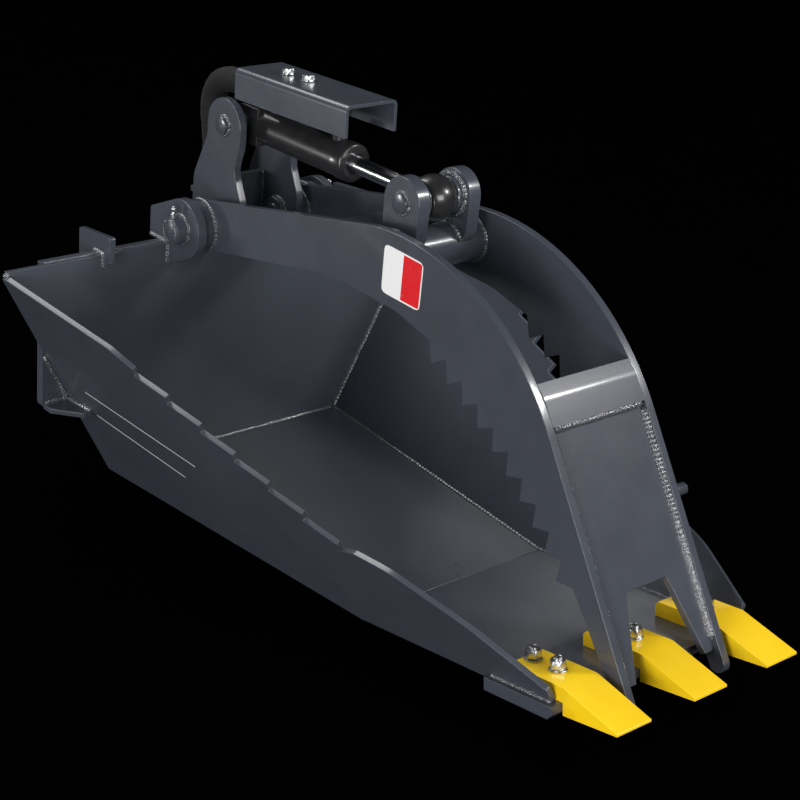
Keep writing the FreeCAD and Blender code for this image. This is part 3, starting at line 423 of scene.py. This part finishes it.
# %% [markdown]
# Turned and six-sided pieces share one formula: at height h and angle t the radius is
# the smaller of the turned profile's radius and the hexagon's, which is half the width
# across flats over the cosine of the angle to the nearest flat. So a nut gets the
# rounded corners that the lathe cuts on a real one.

# %% Turned and six-sided pieces
def turned(profile, place_mm, axis, flats=None, columns=48, start_turn=0.0):
    """A grid from a profile of (height, radius) rows in mm, along a unit axis from a place in mm."""
    axis = np.asarray(axis, float)
    axis = axis / np.linalg.norm(axis)
    side = np.cross(axis, (1.0, 0.0, 0.0) if abs(axis[0]) < 0.9 else (0.0, 1.0, 0.0))
    side /= np.linalg.norm(side)
    other = np.cross(axis, side)
    angle = np.linspace(0, 2 * math.pi, columns, endpoint=False) + start_turn
    profile = np.asarray(profile, float)
    radius = np.repeat(profile[:, 1:2], columns, axis=1)
    if flats:
        nearest = (angle + math.pi / 6) % (math.pi / 3) - math.pi / 6
        radius = np.minimum(radius, (flats / 2) / np.cos(nearest)[None, :])
    direction = np.cos(angle)[:, None] * side + np.sin(angle)[:, None] * other
    spine = np.asarray(place_mm, float) + profile[:, 0, None, None] * axis
    return (spine + radius[:, :, None] * direction[None]) * MM


def pin_profile(start, end, radius, chamfer=1.4, centre=1.5):
    """A pin with chamfered ends and a centre hole at each."""
    depths = ((1.2, 0.3), (1.0, centre * 0.6), (0, centre), (0, radius - chamfer),
              (0.3, radius - chamfer * 0.5), (chamfer, radius - 0.1), (chamfer + 0.6, radius))
    return [(start + depth, r) for depth, r in depths] + [(end - depth, r) for depth, r in reversed(depths)]


PIVOT = (-40.5, 386.0)
TOWER = (-36.0, 533.0)
EAR = (-432.0, 535.0)
ACROSS = (1, 0, 0)
pins = [turned(pin_profile(x0, x1, 15.0), (0, *PIVOT), ACROSS) for x0, x1 in ((-151, -34), (34, 151))]
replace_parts(merged("jaw_pins", pins, SLATE, "bucket"), "pivot_pins")
tower_pin = turned(pin_profile(-65, 65, 13.0), (0, *TOWER), ACROSS)
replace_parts(merged("barrel_pin", [tower_pin], SLATE, "bucket"), "tower_pin")
ear_pin = turned(pin_profile(-61, 61, 14.0), (0, *EAR), ACROSS)
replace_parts(merged("jaw_ear_pin", [ear_pin], SLATE, "jaw"), "ear_pin")
KNOB_ROWS = [(0, 8.4), (15, 8.4), (15.5, 8.1), (19, 8.1), (20, 7.0), (20, 0.3)]
knob = turned(KNOB_ROWS, (94, -833, 248), ACROSS)
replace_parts(merged("stop_knob", [knob], SLATE, "jaw"), "arm_knob")
print("pins and knob made")

# %% [markdown]
# The gland is a black ring with a chamfer, and the rod ends in a black eye whose outside
# swells to a crown between the ears. Its neck is a cone, so eye and neck are two grids.
# A thick collar on the inside of each ear guides the eye.

# %% Gland, rod eye and collars
CYLINDER_ALONG = np.array((0.0, EAR[0] - TOWER[0], EAR[1] - TOWER[1]))
PIN_APART = np.linalg.norm(CYLINDER_ALONG)
CYLINDER_ALONG /= PIN_APART
GLAND_ROWS = [(206, 24.0), (206, 27.4), (207, 28.2), (227.5, 28.2), (230.2, 26.6), (231, 25.0), (231, 15.5),
              (229.5, 14.2), (229.5, 12.8), (208, 12.8)]
gland = turned(GLAND_ROWS, (0, *TOWER), CYLINDER_ALONG)
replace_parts(merged("gland_ring", [gland], BLACK, "barrel"), "gland_nut")
crown_rows = [(-21.5, 22.4), (-21.5, 25.0), (-20.6, 26.2)]
crown_rows += [(h, 32.0 - 5.2 * (h / 20.0) ** 2) for h in np.linspace(-19.5, 19.5, 19)]
crown_rows += [(20.6, 26.2), (21.5, 25.0), (21.5, 22.4)]
NECK_ROWS = ((43.8, 12.8), (43.8, 16.6), (43.0, 17.4), (27, 20.6), (24.5, 20.0), (24.5, 0.3))
neck_rows = [(PIN_APART - before_pin, radius) for before_pin, radius in NECK_ROWS]
eye_parts = [turned(crown_rows, (0, *EAR), ACROSS, columns=64),
             turned(neck_rows, (0, *TOWER), CYLINDER_ALONG)]
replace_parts(merged("crowned_eye", eye_parts, BLACK, "rod"), "rod_eye")
COLLAR_ROWS = [(0, 14.2), (0, 24.4), (1.2, 25.7), (10.6, 25.9), (10.8, 25.9), (10.8, 14.2)]
collars = [turned(COLLAR_ROWS, (side * 23.2, *EAR), (side, 0, 0)) for side in (-1, 1)]
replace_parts(merged("eye_collars", collars, SLATE, "jaw"), "ear_collars")
print("pins", round(PIN_APART, 2), "mm apart")

# %% [markdown]
# Each tooth is held by two countersunk bolts that come up through the lip, with a
# washer and a nut on top. The bolt's end shows a few turns of thread. A thread this
# small is drawn as rings, because its slope is under three degrees.

# %% Tooth fasteners
RISE = math.radians(9.5)
FOLD = np.array((0.0, -553.0, 0.0))
LIP_ALONG = np.array((0.0, math.cos(RISE), -math.sin(RISE)))
LIP_UP = np.array((0.0, math.sin(RISE), math.cos(RISE)))


def on_lip(x, along, up):
    """A point of the lip frame in mm: across, along the front floor and square to it."""
    return FOLD + np.array((x, 0.0, 0.0)) + along * LIP_ALONG + up * LIP_UP


TOOTH_PITCH = 137.0
TOOTH_TOP = 31.0
BOLT_ROWS = (-296.0, -339.0)
thread_rows = []
for turn in range(2):
    thread_rows += [(12.6 + turn * 1.25, 5.9), (13.2 + turn * 1.25, 5.2)]
NUT_ROWS = [(0, 3.0), (0, 9.2), (1.2, 11.2), (10.4, 11.2), (12.0, 9.4), (12.0, 6.6), (11.0, 6.0),
            (11.0, 0.3)]
WASHER_ROWS = [(0, 6.6), (0, 11.6), (0.5, 12.0), (2.0, 12.0), (2.5, 11.6), (2.5, 6.6)]
SHANK_ROWS = [(-5, 0.3), (-5, 6.0), (12.0, 6.0)]
SHANK_ROWS += [(h + 1.2, r) for h, r in thread_rows] + [(15.2, 4.6), (15.4, 0.3)]
HEAD_ROWS = [(0, 0.3), (0, 3.4), (2.5, 3.6), (2.6, 3.7), (0, 3.8), (0, 11.6), (0.6, 12.0), (6.0, 6.2),
             (7.0, 6.0), (20.0, 6.0), (20.0, 0.3)]
spots = [(column * TOOTH_PITCH, along) for column in (-1, 0, 1) for along in BOLT_ROWS]
turns = (0.1, 0.5, 0.8, 0.3, 0.95, 0.65)
nuts, washers, shanks = [], [], []
for (x, along), twist in zip(spots, turns):
    washers.append(turned(WASHER_ROWS, on_lip(x, along, TOOTH_TOP), LIP_UP))
    nuts.append(turned(NUT_ROWS, on_lip(x, along, TOOTH_TOP + 2.5), LIP_UP, flats=19.0, start_turn=twist))
    shanks.append(turned(SHANK_ROWS, on_lip(x, along, TOOTH_TOP + 2.5), LIP_UP))
    shanks.append(turned(HEAD_ROWS, on_lip(x, along, -8.0), LIP_UP))
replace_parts(merged("tooth_nut_set", nuts, ZINC, "bucket"), "tooth_nuts")
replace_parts(merged("tooth_washer_set", washers, ZINC, "bucket"), "tooth_washers")
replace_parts(merged("tooth_bolt_set", shanks, ZINC, "bucket"), "tooth_bolts")

# %% Guard fasteners and grease nipples
GUARD_TILT = math.radians(2.3)
GUARD_REAR = np.array((0.0, -40.0, 618.0))
GUARD_ALONG = np.array((0.0, -math.cos(GUARD_TILT), math.sin(GUARD_TILT)))
GUARD_UP = np.array((0.0, math.sin(GUARD_TILT), math.cos(GUARD_TILT)))
GUARD_BOLTS = (65.5, 112.0)
HEX_HEAD = [(2.0, 0.3), (2.0, 9.0), (2.6, 9.4), (2.6, 9.9), (7.6, 9.9), (9.0, 8.2), (9.0, 0.3)]
GUARD_WASHER = [(0, 0.3), (0, 10.2), (0.4, 10.5), (1.6, 10.5), (2.0, 10.2), (2.0, 0.3)]
heads, plates = [], []
for along, twist in zip(GUARD_BOLTS, (0.2, 0.75)):
    spot = GUARD_REAR + along * GUARD_ALONG
    heads.append(turned(HEX_HEAD, spot, GUARD_UP, flats=17.0, start_turn=twist))
    plates.append(turned(GUARD_WASHER, spot, GUARD_UP))
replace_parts(merged("guard_bolt_set", heads, ZINC, "barrel"), "guard_bolts")
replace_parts(merged("guard_washer_set", plates, ZINC, "barrel"), "guard_washers")
NIPPLE_ROWS = [(-1, 0.3), (-1, 4.0), (5.0, 4.0), (5.6, 2.6), (8.5, 2.3), (9.5, 3.2), (11.0, 3.6),
               (13.5, 3.6), (15.0, 3.0), (16.2, 1.6), (16.6, 0.3)]
HUB_RADIUS = 21.0
nipples = [turned(NIPPLE_ROWS, (side * 144.0, PIVOT[0], PIVOT[1] + HUB_RADIUS), (0, 0, 1))
           for side in (-1, 1)]
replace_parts(merged("grease_nipple_set", nipples, ZINC, "bucket"), "grease_nipples")
print("fasteners made")

# %% [markdown]
# The plates are joined by fillet welds. A bead laid by hand or by machine is a row of
# overlapping puddles, so its surface is a small round section carried along the joint,
# and its radius swells once for each puddle: r = R (0.84 + 0.24 |sin(pi s / p)|), with s
# the length along the joint and p the length of a puddle.

# %% Weld beads
def resampled(path, step):
    """Points at even steps along a path of straight runs, and the length at each."""
    path = np.asarray(path, float)
    runs = np.linalg.norm(np.diff(path, axis=0), axis=1)
    reach = np.concatenate([[0.0], np.cumsum(runs)])
    count = max(3, int(reach[-1] / step) + 1)
    along = np.linspace(0, reach[-1], count)
    return np.stack([np.interp(along, reach, path[:, k]) for k in range(3)], axis=1), along


def bead(path, radius=3.4, puddle=5.0, columns=8, seed=0.0):
    """A weld's grid in metres: a round section along a path in mm, swollen once per puddle."""
    centres, along = resampled(path, puddle / 4)
    tangent = np.gradient(centres, axis=0)
    tangent /= np.linalg.norm(tangent, axis=1)[:, None]
    guide = np.where(np.abs(tangent[:, :1]) < 0.8, np.array([[1.0, 0.0, 0.0]]), np.array([[0.0, 0.3, 1.0]]))
    side = np.cross(tangent, guide)
    side /= np.linalg.norm(side, axis=1)[:, None]
    other = np.cross(tangent, side)
    wobble = 0.06 * np.sin(along * 0.11 + seed) + 0.04 * np.sin(along * 0.37 + 2 * seed)
    swell = radius * (0.84 + 0.24 * np.abs(np.sin(math.pi * along / puddle)) + wobble)
    ends = np.minimum(1.0, np.minimum(along, along[-1] - along) / (1.5 * radius) + 0.35)
    swell = swell * ends
    angle = np.linspace(0, 2 * math.pi, columns, endpoint=False)
    direction = np.cos(angle)[None, :, None] * side[:, None] + np.sin(angle)[None, :, None] * other[:, None]
    return (centres[:, None] + swell[:, None, None] * direction) * MM


def circle_path(x, centre, radius, start=0, end=360):
    """Points round an axis across the bucket, in mm; 0 degrees points forward and 90 up."""
    angle = np.radians(np.linspace(start, end, 60))
    forward, high = centre[0] - radius * np.cos(angle), centre[1] + radius * np.sin(angle)
    return np.stack([np.full_like(angle, x), forward, high], axis=1)


LEAN = math.radians(28.3)
WALL = 8.0
INNER = WALL / math.cos(LEAN)
HALF_AT_FOLD = 170.0


def side_x(y, z):
    """Half width of the bucket over its side plates, in mm."""
    up = (y - FOLD[1]) * LIP_UP[1] + z * LIP_UP[2]
    return HALF_AT_FOLD + math.tan(LEAN) * up


def inner_corner(y, z):
    return side_x(y, z) - INNER


bucket_welds = []
for side in (-1, 1):
    floor_line = [(side * inner_corner(y, WALL), y, WALL) for y in (-8, -280, -552)]
    front_x = side * (HALF_AT_FOLD + math.tan(LEAN) * WALL - INNER)
    front_line = [tuple(on_lip(front_x, s, WALL)) for s in (0, -130, -256)]
    wall_line = [(side * inner_corner(-WALL, z), -WALL, z) for z in (8, 180, 346)]
    bucket_welds += [bead(floor_line + front_line[1:], 3.6, 7.0), bead(wall_line, 3.6, 6.0)]
    lip_x = side * (HALF_AT_FOLD + math.tan(LEAN) * 10.0 + 0.5)
    lip_side = [tuple(on_lip(lip_x, s, 10.0)) for s in (-260, -366)]
    bucket_welds.append(bead(lip_side, 3.2, 5.0))
    for x in (115.0, 130.0):
        bucket_welds.append(bead([(side * x, -8.3, 322), (side * x, -8.3, 355.3), (side * x, 39, 355.4)],
                                 3.4, 5.0, seed=x))
    for x in (46.0, 58.0):
        bucket_welds.append(bead([(side * x, -8.3, 340), (side * x, -8.3, 355.3), (side * x, 36, 355.4)],
                                 3.4, 5.0, seed=x))
    for y in (0.0, 10.0):
        bucket_welds.append(bead([(side * 46, y, 357), (side * 46, y, 440)], 3.0, 5.0))
    bucket_welds.append(bead(circle_path(side * 130.5, PIVOT, 21.5), 2.8, 5.0))
    bucket_welds.append(bead(circle_path(side * 150, PIVOT, 15.8), 1.8, 4.0))
    bucket_welds.append(bead(circle_path(side * 58.3, TOWER, 14.0), 2.6, 4.0))
    bucket_welds.append(bead(circle_path(side * 45.5, PIVOT, 23.5), 2.8, 4.5))
    for x in (232.0, 242.0):
        bucket_welds.append(bead([(side * x, -8.5, 334), (side * x, -8.5, 355.3), (side * x, 15.2, 355.4),
                                  (side * x, 15.4, 302)], 3.6, 5.0, seed=x))
    wing_side = [(side * (side_x(y, 136.0) + 1.5), y, 137.0) for y in (-2, -56)]
    bucket_welds.append(bead(wing_side, 4.2, 6.0))
    bucket_welds.append(bead([(side * 292, -1.0, 137.5), (side * 332, -1.0, 137.5)], 4.2, 6.0))
    wing_low = [(side * (side_x(y, 128.0) + 1.5), y, 127.0) for y in (-2, -56)]
    bucket_welds.append(bead(wing_low, 3.4, 6.0))
    hitch_side = [(side * (side_x(0, z) + 1.5), -0.5, z) for z in (140, 212)]
    bucket_welds.append(bead(hitch_side, 4.0, 6.0))
    cap_line = ((-3.5, 343), (-3.8, 351.5), (-7, 347.5), (-14, 342.5))
    cap = [(side * (side_x(y, 347) - 6.2), y, z) for y, z in cap_line]
    bucket_welds.append(bead(cap, 4.6, 7.0, seed=2.0))
bucket_welds.append(bead([(-212, -8, 8), (212, -8, 8)], 3.6, 7.0))
for x0, x1 in ((-334, -246), (-228, -134), (-111, -62), (-42, 42), (62, 111), (134, 228), (246, 334)):
    bucket_welds.append(bead([(x0, 0.0, 354.6), (x1, 0.0, 354.6)], 2.0, 6.0))
bucket_welds.append(bead([(-44, 10.5, 355.5), (44, 10.5, 355.5)], 3.0, 5.0))
bucket_welds.append(bead([(-44, -0.5, 355.5), (44, -0.5, 355.5)], 3.0, 5.0))
bucket_welds.append(bead([(-238, 15.5, 138.5), (238, 15.5, 138.5)], 3.6, 6.0))
bucket_welds.append(bead([(-226, 16, 330.5), (226, 16, 330.5)], 3.0, 6.0))
bucket_welds.append(bead([(-28, 10.5, 402.5), (28, 10.5, 402.5)], 2.8, 5.0))
merged("bucket_weld_beads", bucket_welds, WELD, "bucket")

# %% Weld beads of the jaw
CROWN = np.array((0.0, -644.2, 556.4))
FRONT_SLOPE = math.radians(56.9)
BACK_SLOPE = math.radians(12.3)
NOSE_EDGE = np.array((0.0, -math.cos(FRONT_SLOPE), -math.sin(FRONT_SLOPE)))
NOSE_IN = np.array((0.0, math.sin(FRONT_SLOPE), -math.cos(FRONT_SLOPE)))
SWEEP_RADIUS = 365.0
SWEEP_REACH = SWEEP_RADIUS * math.tan((FRONT_SLOPE + BACK_SLOPE) / 2)
ARC_END = CROWN + NOSE_EDGE * SWEEP_REACH
TUBE = (-428.0, 463.0)
ARM_INSIDE, ARM_OUTSIDE = 82.0, 94.0
jaw_welds = []
for side in (-1, 1):
    x = side * ARM_INSIDE
    front = [tuple(ARC_END + NOSE_EDGE * t + NOSE_IN * 7.5 + np.array((x, 0, 0))) for t in (-6, 150, 304)]
    jaw_welds.append(bead(front, 5.6, 6.0))
    rear = [tuple(ARC_END + NOSE_EDGE * t + NOSE_IN * 18.5 + np.array((x, 0, 0))) for t in (-4, 150, 304)]
    jaw_welds.append(bead(rear, 3.4, 6.0))
    jaw_welds.append(bead(circle_path(x, TUBE, 30.5), 3.4, 5.0))
    jaw_welds.append(bead(circle_path(side * ARM_OUTSIDE, PIVOT, 38.5), 3.4, 5.0))
    jaw_welds.append(bead(circle_path(x, PIVOT, 32.5), 3.2, 5.0))
    for ear_face in (34.7, 55.3):
        jaw_welds.append(bead(circle_path(side * ear_face, TUBE, 31.0, 22, 152), 3.8, 5.0, seed=ear_face))
    jaw_welds.append(bead(circle_path(side * 55.2, EAR, 15.0), 2.6, 4.0))
    jaw_welds.append(bead(circle_path(side * 33.0, EAR, 27.5), 4.2, 5.5))
cross_bead = ARC_END - 11.0 * NOSE_EDGE + 4.6 * NOSE_IN
jaw_welds.append(bead([tuple(cross_bead + (x, 0, 0)) for x in (-80, 0, 80)], 4.4, 6.0))
merged("jaw_weld_beads", jaw_welds, WELD, "jaw")
print("weld beads:", len(bucket_welds), "on the bucket,", len(jaw_welds), "on the jaw")

# %% [markdown]
# The upper nose plate was folded on a press, so its outside is flat on both sides of one
# narrow round. The section runs from the rear edge over the fold to the lower edge and
# back along the inside; the fold is a Bezier curve between points on its two flats.

# %% Folded nose plate
SWEEP_CENTRE = ARC_END + SWEEP_RADIUS * NOSE_IN
NOSE_INSIDE = SWEEP_RADIUS - 10.0


def on_sweep(radius, degrees):
    """A point of the arms' swept back in the bucket's middle plane, in mm."""
    angle = math.radians(degrees)
    return SWEEP_CENTRE + radius * np.array((0.0, -math.cos(angle), math.sin(angle)))


def folded(rear, fold, front, half):
    """Points from rear to front with a round at the fold, half the length of the round given."""
    start = fold + half * (rear - fold) / np.linalg.norm(rear - fold)
    stop = fold + half * (front - fold) / np.linalg.norm(front - fold)
    t = np.linspace(0, 1, 9)[:, None]
    return np.concatenate([[rear], (1 - t) ** 2 * start + 2 * t * (1 - t) * fold + t ** 2 * stop, [front]])


outside = folded(on_sweep(SWEEP_RADIUS, 44.2), on_sweep(SWEEP_RADIUS + 1.5, 41.0),
                 on_sweep(SWEEP_RADIUS, 35.2), 4.0)
inside = folded(on_sweep(NOSE_INSIDE, 44.2), on_sweep(NOSE_INSIDE + 1.5, 41.0),
                on_sweep(NOSE_INSIDE, 35.2), 2.6)
section = np.concatenate([outside, inside[::-1]])
stations = (-ARM_INSIDE, 1.0 - ARM_INSIDE, 0.0, ARM_INSIDE - 1.0, ARM_INSIDE)
fold_grid = np.stack([section + (x, 0, 0) for x in stations]) * MM
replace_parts(merged("folded_nose", [fold_grid], SLATE, "jaw"), "nose_bend")

# %% [markdown]
# The hydraulic hoses run in one textile sleeve from the barrel's ports, over the tower
# pin and down behind the tower. It is one smooth curve.

# %% Hose sleeve
HOSE_ROUTE = ((0, -74, 581), (0, -35, 581), (0, 5, 581), (0, 40, 578), (0, 64, 563), (0, 76, 531),
              (0, 66, 487), (0, 62, 445), (0, 62, 402))
HOSE_RADIUS = 19.0


def route_points(route):
    """Points along a smooth spline whose control points are the route's, in metres."""
    curve = bpy.data.curves.new("hose_route", "CURVE")
    curve.dimensions = "3D"
    spline = curve.splines.new("NURBS")
    spline.points.add(len(route) - 1)
    for point, place in zip(spline.points, route):
        point.co = (place[0] * MM, place[1] * MM, place[2] * MM, 1)
    spline.order_u = 3
    spline.use_endpoint_u = True
    spline.resolution_u = 24
    holder = bpy.data.objects.new("hose_route", curve)
    line = bpy.data.meshes.new_from_object(holder)
    points = np.array([vertex.co for vertex in line.vertices])
    bpy.data.objects.remove(holder)
    return points


def sleeve_finish():
    """Woven sleeve: two sets of threads that cross, from the piece's own UV map."""
    finish = Finish("woven_sleeve", Metallic=0.0, Sheen_Weight=0.03, Specular_IOR_Level=0.25)
    uv = finish.node("ShaderNodeUVMap", {"uv_map": "weave"})["UV"]
    parts = finish.node("ShaderNodeSeparateXYZ", {}, {0: uv})
    one = (parts["X"] * 240 + parts["Y"] * 240).sine()
    two = (parts["X"] * 240 - parts["Y"] * 240).sine()
    weave = one * two * 0.5 + 0.5
    fluff = finish.noise(300.0, 4.0, 0.7)
    tone = finish.mix(weave * 0.7 + fluff * 0.3, colour(0.004, 0.004, 0.0045), colour(0.016, 0.016, 0.017))
    finish.feed("Base Color", tone)
    finish.feed("Roughness", fluff * 0.2 + 0.6)
    finish.bump(weave, 0.5, 0.0008)
    return finish.material


hose_line = route_points(HOSE_ROUTE) / MM
centres, along = resampled(hose_line, 3.0)
tangent = np.gradient(centres, axis=0)
tangent /= np.linalg.norm(tangent, axis=1)[:, None]
across = np.array([[1.0, 0.0, 0.0]])
upward = np.cross(tangent, across)
ring = np.linspace(0, 2 * math.pi, 40, endpoint=False)
twist = 0.35 * np.sin(along[:, None] * 0.23 + 2 * ring[None])
rumple = np.minimum(HOSE_RADIUS + twist + 0.3 * np.sin(along[:, None] * 0.61), HOSE_RADIUS)
outward = np.cos(ring)[None, :, None] * across[:, None] + np.sin(ring)[None, :, None] * upward[:, None]
sleeve_grid = (centres[:, None] + rumple[:, :, None] * outward) * MM
sleeve = merged("hose_sleeve", [sleeve_grid], sleeve_finish(), None)
weave_map = sleeve.data.uv_layers.new(name="weave")
loop_vertex = np.empty(len(sleeve.data.loops), dtype=np.int64)
sleeve.data.loops.foreach_get("vertex_index", loop_vertex)
columns = len(ring)
row_of, column_of = loop_vertex // columns, loop_vertex % columns
u = column_of / columns
v = np.append(along, [0.0, along[-1]])[np.minimum(row_of, len(along))] / (2 * math.pi * HOSE_RADIUS)
weave_map.data.foreach_set("uv", np.stack([u * 2 * math.pi / 6.2832, v], axis=1).ravel())
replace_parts(sleeve, "hose_sleeve_rear", "hose_sleeve_front")
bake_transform(sleeve)
print("hose sleeve", round(along[-1]), "mm long")

# %% [markdown]
# A safety plate sits on the near arm, white at its rear and red at its front, and two
# thin pale lines run along each side plate. Both are left plain. Each is a thin patch:
# a point at (u, v) is the weighted mean of the patch's four corners.

# %% Plain plate and lines
def patch(name, corners, finish, body, count=(12, 12), thick=0.25, corner_round=0.0):
    """A thin patch between four corners in mm, given round the edge, with its own UV map."""
    corners = np.asarray(corners, float)
    u, v = np.meshgrid(np.linspace(0, 1, count[0]), np.linspace(0, 1, count[1]), indexing="ij")
    pull = 1 - corner_round * ((2 * u - 1) * (2 * v - 1)) ** 10
    across, along = 0.5 + (u - 0.5) * pull, 0.5 + (v - 0.5) * pull
    weights = np.stack([(1 - across) * (1 - along), across * (1 - along), across * along,
                        (1 - across) * along], axis=-1)
    grid = np.einsum("ijk,kl->ijl", weights, corners) * MM
    rows, columns = count
    row, column = np.meshgrid(np.arange(rows - 1), np.arange(columns - 1), indexing="ij")
    faces = np.stack([row * columns + column, (row + 1) * columns + column,
                      (row + 1) * columns + column + 1, row * columns + column + 1], axis=-1).reshape(-1, 4)
    mesh = bpy.data.meshes.new(name)
    mesh.from_pydata(grid.reshape(-1, 3).tolist(), [], faces.tolist())
    plate_map = mesh.uv_layers.new(name="plate")
    loop_vertex = np.empty(len(mesh.loops), dtype=np.int64)
    mesh.loops.foreach_get("vertex_index", loop_vertex)
    spots = np.stack([u.ravel()[loop_vertex], v.ravel()[loop_vertex]], axis=1)
    plate_map.data.foreach_set("uv", spots.ravel())
    mesh.materials.append(finish)
    piece = bpy.data.objects.new(name, mesh)
    bpy.context.scene.collection.objects.link(piece)
    solid = piece.modifiers.new("thickness", "SOLIDIFY")
    solid.thickness = thick * MM
    solid.offset = 1.0
    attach(piece, body)
    return piece


def two_tone_finish():
    """White at one end and red at the other, with a white border round it and scuffs."""
    finish = Finish("two_tone_plate", Metallic=0.0, Roughness=0.3)
    uv = finish.node("ShaderNodeUVMap", {"uv_map": "plate"})["UV"]
    parts = finish.node("ShaderNodeSeparateXYZ", {}, {0: uv})
    front = parts["X"] > 0.5
    scuff = finish.ramp(finish.noise(160.0, 5.0, 0.7), (0.62, 0.0), (0.72, 0.5))
    tone = finish.mix(front, colour(0.86, 0.86, 0.85), colour(0.72, 0.012, 0.018))
    ends = (parts["X"] - 0.5) * (parts["X"] - 0.5) > 0.223
    sides = (parts["Y"] - 0.5) * (parts["Y"] - 0.5) > 0.217
    worn = finish.mix(scuff, tone, colour(0.5, 0.47, 0.45))
    finish.feed("Base Color", finish.mix(ends + sides > 0.5, worn, colour(0.86, 0.86, 0.85)))
    return finish.material


def pale_line_finish():
    """Pale film with worn specks."""
    finish = Finish("pale_line", Metallic=0.0, Roughness=0.4)
    worn = finish.ramp(finish.noise(240.0, 5.0, 0.7), (0.60, 0.0), (0.70, 0.6))
    finish.feed("Base Color", finish.mix(worn, colour(0.62, 0.63, 0.64), colour(0.30, 0.31, 0.33)))
    return finish.material


ARM_FACE = -94.05
PLATE_CORNERS = ((ARM_FACE, -449.8, 492.2), (ARM_FACE, -527.7, 489.3), (ARM_FACE, -526.9, 422.9),
                 (ARM_FACE, -449.9, 425.2))
patch("safety_plate", PLATE_CORNERS, two_tone_finish(), "jaw", count=(40, 36),
      corner_round=0.07)
PALE = pale_line_finish()
SIDE_LINES = (((-69.0, 175.7), (-294.0, 143.4)), ((-66.0, 132.6), (-247.0, 101.8)))
for side in (-1, 1):
    for number, (start, end) in enumerate(SIDE_LINES):
        corners = []
        for (y, z), rise in ((start, 1.1), (end, 1.1), (end, -1.1), (start, -1.1)):
            corners.append((side * (side_x(y, z + rise) + 0.05), y, z + rise))
        if side > 0:
            corners = corners[::-1]
        patch("side_line_%s_%d" % ("right" if side > 0 else "left", number), corners, PALE, "bucket",
              count=(30, 3), thick=0.2)

# %% [markdown]
# The studio is dark all round, so the satin paint stays deep and the rounded edges and
# the welds draw bright lines. The key and a low lamp light the side plates and the arms,
# the front lamp the teeth, and the rear lamp the guard and the rod. The right lamp is
# small, for a narrow line on the folded nose, and the rim lamp draws the rims.

# %% Studio
def floor_finish():
    """Black matt cloth that throws almost nothing back."""
    finish = Finish("studio_floor", Roughness=1.0, Specular_IOR_Level=0.0)
    dark, light = colour(0.0004, 0.0004, 0.0004), colour(0.0006, 0.0006, 0.0006)
    finish.feed("Base Color", finish.mix(finish.noise(3.0, 3.0), dark, light))
    return finish.material


floor_mesh = bpy.data.meshes.new("studio_floor")
reach = 30.0
floor_mesh.from_pydata([(-reach, -reach, 0), (reach, -reach, 0), (reach, reach, 0), (-reach, reach, 0)], [],
                       [(0, 1, 2, 3)])
floor_mesh.materials.append(floor_finish())
floor = bpy.data.objects.new("studio_floor", floor_mesh)
bpy.context.scene.collection.objects.link(floor)


def lamp(name, place, target, width, watts):
    """A square soft lamp that faces a target."""
    data = bpy.data.lights.new(name, "AREA")
    data.shape = "SQUARE"
    data.size = width
    data.energy = watts
    holder = bpy.data.objects.new(name, data)
    bpy.context.scene.collection.objects.link(holder)
    back = np.asarray(place, float) - np.asarray(target, float)
    back /= np.linalg.norm(back)
    right = np.cross((0.0, 0.0, 1.0), back)
    right /= np.linalg.norm(right)
    pose = np.eye(4)
    pose[:3, 0], pose[:3, 1], pose[:3, 2], pose[:3, 3] = right, np.cross(back, right), back, place
    holder.matrix_world = Matrix(pose.tolist())


lamp("key_lamp", (-3.2, -1.5, 1.1), (0, -0.45, 0.25), 1.3, 45)
lamp("low_lamp", (-2.2, -2.0, 0.12), (-0.2, -0.5, 0.2), 0.7, 32)
lamp("right_lamp", (1.30, -1.82, 1.65), (0, -0.745, 0.385), 0.36, 20)
lamp("front_lamp", (0.3, -3.6, 1.4), (0, -0.5, 0.25), 1.2, 42)
lamp("rear_lamp", (-0.30, 1.5, 2.8), (0, -0.4, 0.45), 1.6, 44)
lamp("rim_lamp", (-2.2, 1.5, 0.35), (-0.3, -0.2, 0.25), 0.4, 16)
world = bpy.data.worlds.new("studio_air")
bpy.context.scene.world = world
world.use_nodes = True
air = world.node_tree
SKY_STRENGTH = 0.38
background = air.nodes["Background"]
background.inputs["Color"].default_value = (0.93, 0.94, 0.96, 1)
rays = air.nodes.new("ShaderNodeLightPath")
chooser = air.nodes.new("ShaderNodeMix")
chooser.data_type = "FLOAT"
chooser.inputs[2].default_value = 0.0
chooser.inputs[3].default_value = SKY_STRENGTH
air.links.new(rays.outputs["Is Diffuse Ray"], chooser.inputs[0])
air.links.new(chooser.outputs[0], background.inputs["Strength"])
